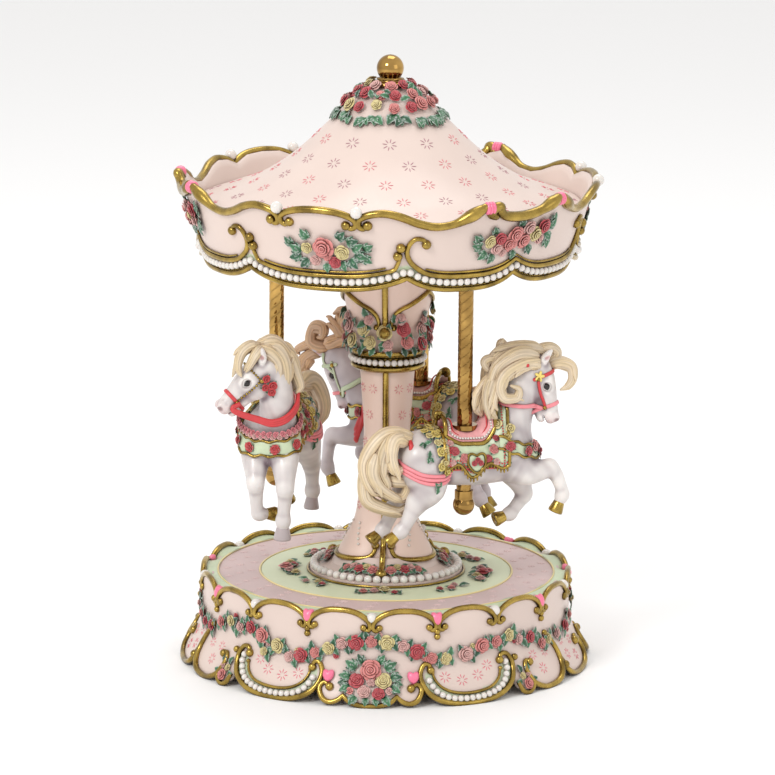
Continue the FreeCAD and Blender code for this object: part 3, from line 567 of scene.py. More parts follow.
def rounded(outline, steps=4):
    """An outline with its corners eased."""
    outline = np.asarray(outline, float)
    out = []
    for i in range(len(outline)):
        before, here, after = outline[i - 1], outline[i], outline[(i + 1) % len(outline)]
        ra, rb = before - here, after - here
        la, lb = np.linalg.norm(ra), np.linalg.norm(rb)
        cut = min(0.35, 0.45 * la, 0.45 * lb)
        a, b = here + ra / la * cut, here + rb / lb * cut
        for t in np.linspace(0, 1, steps):
            out.append((1 - t) ** 2 * a + 2 * t * (1 - t) * here + t * t * b)
    return np.array(out)


def flower(clay, place, normal, size, tint, shapes=None):
    """A rose or bud facing out along the normal."""
    clay.place(dice.choice(shapes or ROSES), pose(place, normal, dice.uniform(0, 6.28), size), tint)


def leaf(clay, place, normal, direction, length, tint=None, lift=0.25):
    """A leaf lying on a surface, pointing along an angle in the surface's own plane."""
    normal = np.asarray(normal, float) / np.linalg.norm(normal)
    flat = pose(place, normal, direction)
    tilted = normal - flat[:3, 0] * lift
    tint = (LEAF if dice.random() < 0.7 else LEAF_DARK) if tint is None else tint
    clay.place(LEAF_SHAPE, pose(place, tilted, direction, (length, length, length * 0.8)),
               tint * dice.uniform(0.8, 1.2))


def blooms(clay, wall, phase, stand, places, swell_by=1.0):
    """Roses on a wall at (bearing, height, colour, size) places."""
    for rel, z, color, size in places:
        b = phase + rel
        flower(clay, wall.at(b, z, stand), wall.normal(b, z), size * swell_by, TINTS[color])


def leaf_fans(clay, wall, phase, stand, spread, places):
    """Three leaves from one point at (bearing, height, direction, size) places."""
    for rel, z, turn, size in places:
        b = phase + rel
        for fan in (-spread, 0.0, spread):
            leaf(clay, wall.at(b, z, stand), wall.normal(b, z), turn + fan,
                 size * (1.0 if fan == 0 else 0.8))


# The base repeats in two halves and the column and canopy in three folds.
HALVES = (0.0, 180.0)
THIRDS = (0, 120, 240)
TINTS = (DEEP_ROSE, SALMON, PALE_ROSE, CREAM)

# ------------------------------------------------------------ base
def skirt_reach(bearing, height):
    """The skirt's flare: it spreads towards the table."""
    return 89.0 + 9.0 * np.exp(-(np.maximum(height, 0) / 13.0) ** 2) + 0 * bearing


SKIRT = Wall(skirt_reach, 93.0)


def through(stops):
    """A function that goes through (x, y) stops with straight runs."""
    xs, ys = zip(*stops)
    return lambda x: np.interp(x, xs, ys)


def side_rel(bearing):
    """How far a bearing is, either way, from the middle of its own half of the base."""
    rel = (np.asarray(bearing, float) - BASE + 90.0) % 180.0 - 90.0
    return np.abs(rel)


hem = through([(0, .4), (4, 1.5), (7.5, 5), (9.3, 3), (11.1, 1.7), (13, 3), (14.8, 7.5), (16.3, 6.6),
               (18.5, 3.5),
               (21, 1.8), (25, .7), (29, .4), (33, .8), (37, 2), (40.5, 4.6), (44.2, 9), (45.2, 3),
               (48, .6),
               (50, 3.4), (51.6, 3.4), (54, 1.4), (57, .5), (61, 1.2), (64.5, 4.5), (66.8, 10.2),
               (68.3, 4.5),
               (72, 1.2), (77, .5), (83, 1.5), (87, 5), (90, 9)])
mint_line = through([(16, 15), (18.2, 14.5), (20.5, 8.5), (24, 5.8), (29, 5.2), (35, 6.4), (39.5, 10.5),
                     (41, 16),
                     (45, 16)])


def arch_line(bearing):
    """Height of the gold arches along the top edge."""
    a = np.abs((bearing - BASE) % 20.0 - 10.0) / 9.3
    return 36.0 + 8.0 * np.clip(1 - a ** 2.4, 0, 1)


around = np.arange(0, 360, 0.5)
lower = hem(side_rel(around))
upper = arch_line(around)
rows = []
for t in np.linspace(0, 1, 34):
    z = lower + (upper - lower) * t
    rows.append((SKIRT.at(around, z), z))
for r, lift in ((86.8, 0.55), (84.5, 0.9), (82.4, 1.0), (81.4, 1.0), (81.2, 0.5)):
    z = upper + (42.35 - upper) * lift
    rows.append((spun(around, r, z), z))
for r, z in ((81.2, 40.0), (84.0, 33.0), (85.5, 20.0), (89.0, 8.0)):
    rows.append((spun(around, r, z + 0 * around), z + 0 * around))
rows.append((SKIRT.at(around, lower + 0.2, -2.5), lower))
points = np.stack([row[0] for row in rows])
tint = np.tile(PALE_PINK, (len(rows), len(around), 1))
rel = side_rel(around)
for k, (_, z) in enumerate(rows):
    if k < 34:
        in_band = (rel > 16) & (rel < 44.5) & (z < mint_line(rel))
        tint[k, in_band] = MINT
    elif k < 39:
        tint[k] = MINT
skirt = Clay()
skirt.add(points.reshape(-1, 3), grid_faces(len(rows), len(around), True, True)[:, ::-1],
          tint.reshape(-1, 3))
skirt.build("skirt", RESIN, "base", "pink_resin", ["base_skirt"])

gold = Clay()
for half in HALVES:
    phase = BASE + half
    for sign in (1, -1):
        def mirrored(*stops):
            return [(b * sign, z) for b, z in stops]
        scroll(gold, SKIRT, mirrored((17.7, 16), (17.2, 18.6), (15.6, 18.4), (14.5, 13.5), (16.2, 7),
                                     (20.7, 2.4),
                                     (28, .6), (36.8, 2.3), (42.8, 7.6), (44.9, 14.6), (43.6, 19.2),
                                     (41.4, 19.8),
                                     (40.5, 17.2)), 1.5, phase, .7, 1.1, (2.0, 2.0), count=110)
        scroll(gold, SKIRT, mirrored((18.2, 14.8), (18.9, 11.4), (20.8, 8.2), (24, 6.0), (29, 5.2),
                                     (35, 6.4),
                                     (38.6, 9.6), (40.2, 13.6)), 0.8, phase, .6, .6, (1.1, 1.1), count=70)
        scroll(gold, SKIRT, mirrored((11.6, 8.6), (13.4, 10.2), (14.5, 7.6), (13.2, 3.4), (11.1, 1.9),
                                     (9, 3),
                                     (7.5, 5.2)), 1.35, phase, .7, 1.0, (2.1, 0), count=60)
        scroll(gold, SKIRT, mirrored((44.9, 6), (46, 2.2), (48, .8), (50, 2.6), (51, 5.4)), 1.3, phase, .7,
               1.0,
               (0, 0), count=40)
        scroll(gold, SKIRT, mirrored((51.8, 13.4), (50.4, 14.4), (49.5, 11), (50.8, 5), (54.4, 1.6),
                                     (58, .8),
                                     (63, 2.6), (66.3, 8.6), (66.6, 15), (64.2, 20.6), (61.6, 24)), 1.5,
                                     phase, .7,
               .9, (2.0, 1.5), count=110)
        ball(gold, SKIRT.at(phase + sign * 67.5, 7.0, 1.0), 2.1, GOLD_TINT)
        ball(gold, SKIRT.at(phase + sign * 46.2, 17.2, 1.0), 1.7, GOLD_TINT)
        scroll(gold, SKIRT, mirrored((67.2, 10), (68.4, 4.4), (72, 1.3), (77, .7), (82.5, 2), (86, 6),
                                     (86.8, 11),
                                     (84.6, 14), (82.6, 12.4)), 1.5, phase, .7, 1.1, (0, 2.2), count=90)
    scroll(gold, SKIRT, [(-7.5, 5.2), (-5.6, 2.6), (-2.6, .9), (0, .6), (2.6, .9), (5.6, 2.6), (7.5, 5.2)],
           1.4,
           phase, .7, 1.1, count=50)
gold.build("skirt_scrolls", GOLD, "base", "gold_paint", ["base_crescent_trim", "base_lower_trim"])

gold = Clay()
arch_stops = [(-7.6, 36.2), (-8.3, 34.9), (-9.3, 35.4), (-9.5, 37.6), (-8.6, 40.0), (-6.2, 42.5),
              (-3.1, 43.9),
              (0, 44.2)]
arch_stops += [(-b, z) for b, z in arch_stops[-2::-1]]
TOP = Wall(lambda b, z: 88.4 - 0.9 * np.clip((z - 38) / 6, 0, 1) + 0 * b, 88.5)
for k in range(18):
    phase = BASE + 10 + 20 * k
    scroll(gold, TOP, arch_stops, 1.45, phase, 1.0, 1.1, (1.7, 1.7), count=90)
    heart_here = k % 2 == 0
    for b, z, r in (((10, 36.4, 1.3), (10, 34.0, 1.5), (10, 31.6, 1.6)) if heart_here
                    else ((10, 36.4, 1.3),)):
        ball(gold, SKIRT.at(phase + b, z, 0.5), r, GOLD_TINT)
gold.build("rim_arches", GOLD, "base", "gold_paint", ["base_arch_trim"])

pearls, hearts = Clay(), Clay()
for k in range(18):
    b = BASE + 20 * k
    if k % 2 == 0:
        ball(pearls, spun(b, 88.0, 40.6), 2.7, PALE_PINK)
    else:
        hearts.place(HEART, pose(spun(b, 88.6, 40.6), spun(b, 1, 0.6), 0, (3.3, 3.3, 3.6)), BEAD_PINK)
crescent = [(17.0, 11.6), (18.8, 7), (22.4, 3.9), (28, 2.9), (34.6, 3.8), (39.6, 7.2), (42.4, 13),
            (42.4, 16)]
for half in HALVES:
    for sign in (1, -1):
        for place in SKIRT.trace([(b * sign, z) for b, z in crescent], 19, 0.8, BASE + half):
            ball(pearls, place, 1.62, PALE_PINK)
        b = BASE + half + sign * 12.4
        hearts.place(HEART, pose(SKIRT.at(b, 13.6, 1.2), SKIRT.normal(b, 13.6), 0, (3.2, 3.2, 3.0)),
                     BEAD_PINK)
pearls.build("skirt_pearls", PEARL, "base", "pearl", ["base_pearls"])
hearts.build("skirt_hearts", BEADS, "base", "pink_bead", ["base_rim_hearts"])

strokes = Clay()
for half in HALVES:
    for sign in (1, -1):
        for rel, z in ((36, 15.7), (32.3, 12.1), (27, 10.7), (22, 12.5), (57, 9), (60.5, 15.5),
                       (54.5, 15.6), (73, 10),
                       (79, 14.5), (72, 16.6), (78.5, 7.5)):
            b = BASE + half + sign * rel
            asterisk(strokes, SKIRT.at(b, z, 0.05), SKIRT.normal(b, z), 3.0, paint(226, 96, 120),
                     dice.uniform(0, 1))
strokes.build("skirt_asterisks", RESIN, "base", "pink_resin")

GARLAND = [(-86, 29, 3, 2.6), (-80, 27, 2, 2.8), (-74, 24.6, 1, 3.0), (-68.5, 22.6, 0, 2.8),
           (-63, 22.6, 0, 2.9),
           (-56, 27, 1, 3.0), (-50.5, 29.4, 3, 2.9), (-45.6, 28, 2, 2.8), (-40.8, 29.4, 0, 3.1),
           (-36, 27, 1, 3.8),
           (-35, 19.6, 3, 2.2), (-30, 23.5, 3, 3.6), (-25.5, 19.4, 2, 2.7), (-21.7, 20.6, 0, 3.6),
           (-17, 23, 1, 2.8),
           (-13, 25.4, 3, 3.1), (-8.8, 28.4, 2, 3.0), (-4.6, 29, 0, 3.8), (0, 30, 1, 2.9),
           (4.7, 29.3, 3, 3.8),
           (9.4, 27.8, 2, 3.1), (13.7, 24.8, 0, 3.8), (18, 21.4, 1, 3.0), (22.4, 20.9, 3, 3.0),
           (29, 22.2, 2, 3.8),
           (34.5, 25.2, 1, 3.8), (39.7, 26, 1, 3.0), (44.5, 28, 3, 3.2), (48.5, 25.2, 2, 2.8),
           (53.8, 24.4, 0, 3.1),
           (59.2, 20, 1, 2.9), (63, 20.6, 3, 2.8), (69, 21.3, 2, 2.8), (76.5, 22.4, 0, 3.1),
           (82, 25.5, 1, 2.8)]
garland = Clay()
for half in HALVES:
    for k, (rel, z, color, size) in enumerate(GARLAND):
        b = BASE + half + rel
        out = SKIRT.normal(b, z)
        flower(garland, SKIRT.at(b, z, 0.9), out, size, TINTS[color])
        side = 1 if k % 2 else -1
        for step, turn in ((1.9, side * 1.3), (2.3, -side * 1.0), (-1.6, -side * 1.9)):
            base_at = SKIRT.at(b + step * 0.7, z + side * 0.6 * (1 if step > 0 else -1), 0.5)
            leaf(garland, base_at, out, turn + dice.uniform(-.4, .4), dice.uniform(4.2, 5.4))
        if k % 3 == 0:
            flower(garland, SKIRT.at(b + 2.4, z - 3.2 * side, 0.6), out, 1.6, TINTS[(color + 1) % 4], BUDS)
garland.build("skirt_garland", FLORAL, "base", "rose_paint", ["base_rose_garland"])

bunches = Clay()
for half in HALVES:
    phase = BASE + half
    for rel, z, color, size in ((0, 16.4, 1, 5.0), (-3.9, 11.8, 0, 3.6), (3.7, 11.8, 3, 3.9),
                                (-1.6, 7.2, 2, 3.1),
                                (2.4, 6.6, 0, 2.9), (0.2, 11.4, 2, 2.2), (-5.6, 7.4, 1, 1.9),
                                (5.4, 7.6, 2, 1.9)):
        b = phase + rel
        flower(bunches, SKIRT.at(b, z, 1.3), SKIRT.normal(b, z), size, TINTS[color], ROSES if size > 2
               else BUDS)
    leaf_fans(bunches, SKIRT, phase, 0.7, 0.55, [
        (-4.4, 17, 2.5, 6.4), (4.4, 17, .6, 6.4), (-6, 13.4, 3.0, 5.6), (6, 13.4, .1, 5.6),
        (-6, 9.4, 3.6, 5.6),
        (6, 9.4, -.5, 5.6), (-4, 5, 4.0, 5.4), (4, 5, -.9, 5.4), (-1, 4.4, 4.6, 4.2), (1.6, 4.4, -1.4, 4.2),
        (-2.4, 19.6, 2.1, 5.0), (2.4, 19.6, 1.0, 5.0), (-6.8, 11.2, 3.3, 4.6), (6.8, 11.2, -.2, 4.6)])
    for sign in (1, -1):
        blooms(bunches, SKIRT, phase, 0.9, [
            (sign * 48.4, 4.8, 1, 2.8), (sign * 47.2, 8.4, 3, 1.8), (sign * 49.6, 8.6, 2, 1.7)])
        for rel, z, turn, size in ((47.4, 10, 2.0, 4.4), (49.2, 10, 1.1, 4.4), (46.4, 6, 2.9, 4.0),
                                   (50, 6, .2, 4.0)):
            b = phase + sign * rel
            leaf(bunches, SKIRT.at(b, z, 0.6), SKIRT.normal(b, z), turn if sign > 0 else math.pi - turn,
                 size)
bunches.build("skirt_bouquets", FLORAL, "base", "rose_paint", ["base_bouquets"])

# ------------------------------------------------------------ deck
relief = Clay()
for ring, count in ((65.5, 26), (71.5, 28), (77.3, 30)):
    for k in range(count):
        b = 360.0 * k / count + ring
        place = spun(b, ring, 42.02)
        for j in range(6):
            m = pose(place, (0, 0, 1), j * math.pi / 3 + b)
            clay_at = m[:3, 3] + m[:3, 0] * 1.1
            relief.place(SMALL_BALL, pose(clay_at, (0, 0, 1), j * math.pi / 3 + b, (1.1, .5, .22)),
                         DECK_PINK * 1.12)
        ball(relief, place, 0.45, DECK_PINK * 1.25, SMALL_BALL)
relief.build("deck_relief", DECK, "base", "deck_paint")
lines = Clay()
line_cream = CREAM * 0.9 + PALE_PINK * 0.1
for radius, height, thick in ((61.2, 42.1, .55), (81.6, 42.3, .5)):
    sweep(lines, spun(np.arange(0, 360, 2.0), radius, height), thick, line_cream, 8, closed=True)
lines.build("deck_edge_lines", DECK, "base", "deck_paint")
ring = Clay()
sweep(ring, spun(np.arange(0, 360, 3.0), 38.0, 42.9), 0.6, GOLD_TINT, 8, closed=True)
ring.build("foot_gold_line", GOLD, "base", "gold_paint")

sprays = Clay()
FOOT = through([(21.8, 53.0), (24, 51), (27, 48.2), (32, 45.4), (37, 44.0), (37.5, 42.4), (90, 42.2)])


def deck_spray(centre, span, radius, big, seed):
    """Roses and leaves laid on the deck along an arc."""
    count = int(span * radius / 57.3 / 4.2) + 1
    for k in range(count):
        t = k / max(1, count - 1) - 0.5
        b = centre + span * t
        r = radius + 2.2 * math.sin(k * 2.1 + seed)
        size = big * (1.15 - 0.7 * abs(t)) * (0.8 if k % 2 else 1.0)
        flower(sprays, spun(b, r, float(FOOT(r)) + size * 0.25), (0, 0, 1), size, TINTS[(k + seed) % 4])
        for turn in (1.2, 3.0, 4.9):
            heading = math.radians(b) + turn + dice.uniform(-.5, .5)
            place = spun(b, r, float(FOOT(r))
                         + 0.3) + np.array([math.cos(heading), math.sin(heading), 0]) * size * 0.5
            leaf(sprays, place, (0, 0, 1), heading, size * 1.5, lift=0.3)
    for sign in (-1, 1):
        b = centre + sign * (span / 2 + 5)
        leaf(sprays, spun(b - sign * 3, radius, float(FOOT(radius)) + 0.3), (0, 0, 1),
             math.radians(b) + (0 if sign > 0 else math.pi), 5.0)


for centre, span, radius, big, seed in ((-4, 18, 46, 2.9, 1), (-49, 12, 45, 2.3, 2), (-88, 24, 47, 3.2, 3),
                                        (39, 13, 48, 2.4, 0), (78, 24, 48, 3.2, 2), (120, 16, 46, 2.8, 1),
                                        (165, 20, 47, 3.0, 3), (-130, 16, 46, 2.6, 0)):
    deck_spray(centre, span, radius, big, seed)
for rib in THIRDS:
    for sign in (1, -1):
        for step, r, size, color in ((9, 28.5, 2.9, 1), (16, 27.0, 2.6, 3), (22.5, 28.2, 2.8, 0),
                                     (30, 27.2, 2.5, 2),
                                     (37, 28.4, 2.3, 1)):
            b = BASE + rib + sign * step
            out = spun(b, 0.55, 1.0)
            place = spun(b, r, float(FOOT(r)) + size * 0.4)
            flower(sprays, place, out, size, TINTS[color])
            for turn in (-1.5, 0.2, 1.9, 3.3):
                leaf(sprays, place - np.array([0, 0, 0.6]), out, turn + dice.uniform(-.5, .5), 4.6)
sprays.build("deck_sprays", FLORAL, "base", "rose_paint", ["deck_rose_sprays"])

# ------------------------------------------------------------ column
PROFILE = np.array([(22.4, 50), (21.8, 54), (20.2, 57.5), (18.1, 62.5), (15.2, 69), (13.4, 80.5),
                    (12.3, 93), (11.2, 107),
                    (11.3, 117), (12, 126), (13, 141), (14.2, 153), (17.5, 163), (20.2, 174), (22, 184),
                    (23.4, 196),
                    (24, 206)])


def column_reach(bearing, height):
    """The column's radius: its turned profile with three soft lobes and a spreading foot."""
    lobes = 1.0 - 0.035 * np.cos(np.radians(3 * (bearing - BASE)))
    foot = 1.6 * np.exp(-((height - 52) / 7.0) ** 2) * np.cos(np.radians(3 * (bearing - BASE)))
    return np.interp(height, PROFILE[:, 1], PROFILE[:, 0]) * lobes - foot


COLUMN = Wall(column_reach, 18.0)
profile = smooth_path(PROFILE, 90)
PROFILE = profile[np.argsort(profile[:, 1])]
around = np.arange(0, 360, 2.0)
rows = [COLUMN.at(around, z) for z in PROFILE[:, 1]]
rows += [spun(around, 10.5, 206.0 + 0 * around), spun(around, 10.5, 50.0 + 0 * around)]
points = np.stack(rows)
column = Clay()
column.add(points.reshape(-1, 3), grid_faces(len(rows), len(around), True, True)[:, ::-1], COLUMN_PINK)
column.build("column", RESIN, "base", "pink_resin", ["column_shaft"])

gold, pearls = Clay(), Clay()
for rib in THIRDS:
    b = BASE + rib
    path = [tuple(spun(b, r, z)) for r, z in ((31.2, 47.6), (28.5, 48.8), (25.2, 50.9), (23.4, 54))]
    path += [tuple(COLUMN.at(b, z, 0.4)) for z in (58, 63, 69, 80, 93, 107, 120, 132, 143)]
    path = smooth_path(path, 90)
    sweep(gold, path, 1.45, GOLD_TINT, 12, up=spun(b, 1, 0.0), flat=0.8)
    path = [tuple(COLUMN.at(b, z, 0.5)) for z in (168, 172, 178, 186, 195, 204)]
    sweep(gold, smooth_path([tuple(spun(b, 21.6, 164.5))] + path, 50), 1.5, GOLD_TINT, 12,
          up=spun(b, 1, 0.0), flat=0.8)
    ball(gold, spun(b, 31.4, 47.3), 2.9, GOLD_TINT)
    ball(gold, spun(b, 22.4, 163.6), 2.7, GOLD_TINT)
    foot = [(11.5, 58.4), (12.6, 55.6), (18, 53.3), (28, 52.2), (45, 51.8), (60, 51.6)]
    foot += [(120 - t, z) for t, z in foot[-2::-1]]
    scroll(gold, COLUMN, foot, 1.3, b, 0.5, 1.0, (2.0, 2.0), count=90)
    top = [(13.0, 165.4), (10.5, 164.6), (9.2, 167), (12, 171), (20, 174.2), (34, 176.8), (48, 179.8),
           (59, 182.2),
           (60, 182.4)]
    top += [(120 - t, z) for t, z in top[-2::-1]]
    scroll(gold, COLUMN, top, 1.15, b, 0.6, 0.9, (1.6, 1.6), count=120)
    for t in (11.5, 108.5):
        ball(pearls, COLUMN.at(b + t, 62.0, 0.6), 1.7, PALE_PINK)
    for side in (1, -1):
        for z in np.arange(66.5, 76, 2.3):
            ball(pearls, COLUMN.at(b + 60 + side * (24 - (z - 66) * 1.2), z - 8, 0.3), 0.7, PALE_PINK,
                 SMALL_BALL)
ring_outline = rounded([(13.0, 142.6), (16.0, 142.8), (17.9, 144.0), (18.0, 145.4), (16.4, 146.0),
                        (16.3, 150.0),
                        (17.6, 150.6), (18.6, 152.0), (18.3, 153.2), (17.2, 153.4), (15.4, 152.0),
                        (13.0, 151.6)])
lathe(gold, ring_outline, GOLD_TINT, 120)
gold.build("column_gilding", GOLD, "base", "gold_paint", ["column_trims", "column_ring_trim"])
for k in range(36):
    ball(pearls, spun(k * 10.0, 17.5, 148.0), 1.55, PALE_PINK)
pearls.build("column_beads", PEARL, "base", "pearl", ["column_pearls"])

wreath = Clay()
RING = Wall(lambda b, z: np.interp(z, [150, 158, 172], [16.8, 18.4, 19.8]) + 0 * b, 18.5)
for row, (z, count, size) in enumerate(((158.0, 13, 3.5), (164.0, 13, 3.6), (169.2, 9, 2.7))):
    for k in range(count):
        b = (k + 0.5 * (row % 2)) * 360.0 / count + dice.uniform(-3, 3) + row * 7
        near_rib = abs((b - BASE + 60) % 120 - 60)
        if row == 2 and near_rib < 18:
            continue
        rise = z + dice.uniform(-1.0, 1.0)
        out = spun(b, 1.0, 0.25)
        flower(wreath, RING.at(b, rise, 1.6), out, size * dice.uniform(0.85, 1.1), dice.choice(ROSE_TINTS))
        for _ in range(2):
            leaf(wreath, RING.at(b + dice.uniform(-9, 9), rise + dice.uniform(-2, 2), 1.0), out,
                 dice.uniform(0, 6.28), dice.uniform(4.2, 5.6), lift=0.45)
for k in range(18):
    b = k * 20.0 + dice.uniform(-4, 4)
    leaf(wreath, RING.at(b, 155.6, 1.4), spun(b, 1, -0.1), -1.57 + dice.uniform(-.9, .9), 4.8, lift=0.3)
wreath.build("column_wreath", FLORAL, "base", "rose_paint", ["column_rose_wreath"])
strokes = Clay()
for z, offsets in ((76, (30, 60, 90)), (92, (45, 75)), (107, (30, 60, 90)), (121, (42, 78)),
                   (134, (30, 60, 90))):
    for rib in THIRDS:
        for t in offsets:
            b = BASE + rib + t
            asterisk(strokes, COLUMN.at(b, z, 0.02), COLUMN.normal(b, z), 2.6, paint(222, 110, 122), t)
strokes.build("column_asterisks", RESIN, "base", "pink_resin")
pearls = Clay()
for k in range(51):
    ball(pearls, spun(k * 360 / 51, 35.0, 45.5), 2.08, PALE_PINK)
pearls.build("foot_ring_pearls", PEARL, "base", "pearl", ["foot_pearls"])

# ------------------------------------------------------------ canopy
def in_fold(bearing):
    """A bearing counted from the middle of the canopy's wide scallop, -60 to 60."""
    return (np.asarray(bearing, float) - CANOPY + 60.0) % 120.0 - 60.0


def scallop(bearing):
    """How near a bearing is to a cusp of the lower edge, 0 to 1."""
    rel = np.abs(in_fold(bearing))
    return np.where(rel < 25.6, rel / 25.6, np.abs(rel - 42.8) / 17.2) ** 3


def canopy_foot(bearing):
    """Height of the canopy's scalloped lower edge."""
    return 196.6 + 6.0 * scallop(bearing)


RIM_STOPS = [(0, 235.2), (6, 234.6), (10.8, 231.5), (11.4, 231.5), (15, 234.0), (19, 234.6), (23, 233.0),
             (28, 229.8),
             (33, 228.0), (38, 229.0), (42, 232.2), (46, 235.6), (49, 234.2), (52, 231.6), (56, 230.4),
             (60, 230.2)]
RIM_LINE = through(RIM_STOPS)


def canopy_rim(bearing):
    """Height of the canopy's waved top edge."""
    return RIM_LINE(np.abs(in_fold(bearing)))


def canopy_reach(bearing, height):
    """The canopy wall's radius: it flares upwards, more at the horns between the folds."""
    share = np.clip((height - 197.0) / 38.0, -0.1, 1.1)
    horn = 1.6 * np.exp(-((np.abs(in_fold(bearing)) - 60) / 12.0) ** 2)
    return 89.2 + (10.0 + horn) * (0.72 * share + 0.28 * share ** 3) - 1.6 * scallop(bearing) * (1 - share)


CROWN = Wall(canopy_reach, 94.0)
around = np.arange(0, 360, 0.5)
low, high = canopy_foot(around), canopy_rim(around)
rows = [CROWN.at(around, low + (high - low) * t) for t in np.linspace(0, 1, 24)]
inside = [(2.6, t) for t in np.linspace(1, 0, 12)]
rows += [CROWN.at(around, low + (high - low) * t, -d) for d, t in inside]
tint = np.tile(PALE_PINK, (len(rows), len(around), 1))
for k, t in enumerate(np.linspace(0, 1, 24)):
    tint[k, (low + (high - low) * t) < low + 7.0] = MINT
points = np.stack(rows)
canopy = Clay()
canopy.add(points.reshape(-1, 3), grid_faces(len(rows), len(around), True, True)[:, ::-1],
           tint.reshape(-1, 3))
canopy.build("canopy", RESIN, "carousel", "pink_resin", ["canopy_shell"])

gold, pearls, beads = Clay(), Clay(), Clay()
sweep(gold, CROWN.at(around, low + 0.6, 0.5), 1.25, GOLD_TINT, 8, closed=True, up=(0, 0, 1.0))
sweep(gold, CROWN.at(around, low + 2.0, 0.25), 0.45, GOLD_TINT, 6, closed=True, up=(0, 0, 1.0))
for k in range(168):
    b = k * 360.0 / 168
    ball(pearls, CROWN.at(b, float(canopy_foot(b)) + 4.2, 0.9), 1.76, PALE_PINK)
for k in range(330):
    b = k * 360.0 / 330
    ball(gold, CROWN.at(b, float(canopy_foot(b)) + 2.3, 0.45), 0.55, GOLD_TINT, SMALL_BALL)
for fold in THIRDS:
    phase = CANOPY + fold

    def line(rel, rise):
        return [(r, float(canopy_foot(phase + r)) + rise) for r in rel]

    for rise, radius in ((7.0, 1.15), (9.0, 0.55)):
        reach = 21.5 if rise < 8 else 19.0
        middle = line(np.linspace(-reach, reach, 15), rise)
        extra = [(22.6, 210.0), (23.2, 212.6)] if rise < 8 else []
        stops = [(-r, z) for r, z in extra[::-1]] + middle + extra
        scroll(gold, CROWN, stops, radius, phase, .6, radius * .8, count=110)
        inner = line(np.linspace(31.0, 59.9, 9), rise)
        hook = [(30.6, 219.6), (29.6, 221.9), (27.4, 222.2), (25.8, 219.4), (25.2, 215.4), (26.2, 211.2),
                (28.3, 208.0)]
        stops = hook + inner if rise < 8 else inner
        thick = radius * 1.15 if rise < 8 else radius
        for sign in (1, -1):
            scroll(gold, CROWN, [(r * sign, z) for r, z in stops], thick, phase, .6, thick * .8,
                   (2.3 if rise < 8 else 0, 0), count=110)
    for sign in (1, -1):
        ball(gold, CROWN.at(phase + sign * 22.6, 214.0, 1.0), 2.3, GOLD_TINT)
        ball(gold, CROWN.at(phase + sign * 23.4, 218.0, 1.0), 2.3, GOLD_TINT)
    top = Wall(lambda b, z: canopy_reach(b, z) - 0.6, 99.0)
    arch = [(8.2, 228.6), (9.6, 227.3), (10.9, 228.6), (10.6, 231.2), (8.6, 233.4), (5, 235.0), (0, 235.6)]
    arch = [(-r, z) for r, z in arch] + arch[-2::-1]
    scroll(gold, top, arch, 1.8, phase, .8, 1.3, (2.3, 2.3), count=120)
    wave = [(14.2, 228.8), (13.0, 227.4), (11.8, 228.6), (12.0, 231.6), (14.4, 234.0), (18.6, 235.0),
            (23, 233.4),
            (28, 230.0), (33, 228.2), (38, 229.2), (42, 232.4), (45.2, 235.6), (46.0, 236.6)]
    bow = [(49.8, 232.0), (48.4, 233.4), (49.2, 236.2), (50.6, 236.6), (51.0, 234.4), (53, 231.8),
           (57, 230.8),
           (61, 231.0), (65.5, 232.6), (69.4, 235.4), (71.0, 236.9)]
    for sign in (1, -1):
        scroll(gold, top, [(r * sign, z) for r, z in wave], 2.0, phase, .8, 1.4, (2.4, 0), (None, 3.5),
               count=120)
        ball(pearls, top.at(phase + sign * 11.3, 235.2, 1.2), 2.9, PALE_PINK)
        for step in (-0.8, 0, 0.8):
            beads.place(BALL, pose(top.at(phase + sign * 47.6 + step, 236.2, .6),
                                   spun(phase + sign * 47.6, 1, 0), 0,
                                   (1.5, 3.1, 2.9)), BEAD_PINK)
    scroll(gold, top, bow, 2.5, phase, .8, 1.9, (0, 0), (2.8, 3.6), count=120)
gold.build("canopy_scrolls", GOLD, "carousel", "gold_paint", ["canopy_rim_trim", "canopy_lower_trim"])
pearls.build("canopy_pearls", PEARL, "carousel", "pearl", ["canopy_pearl_string", "canopy_rim_pearls"])
beads.build("canopy_beads", BEADS, "carousel", "pink_bead", ["canopy_rim_hearts"])

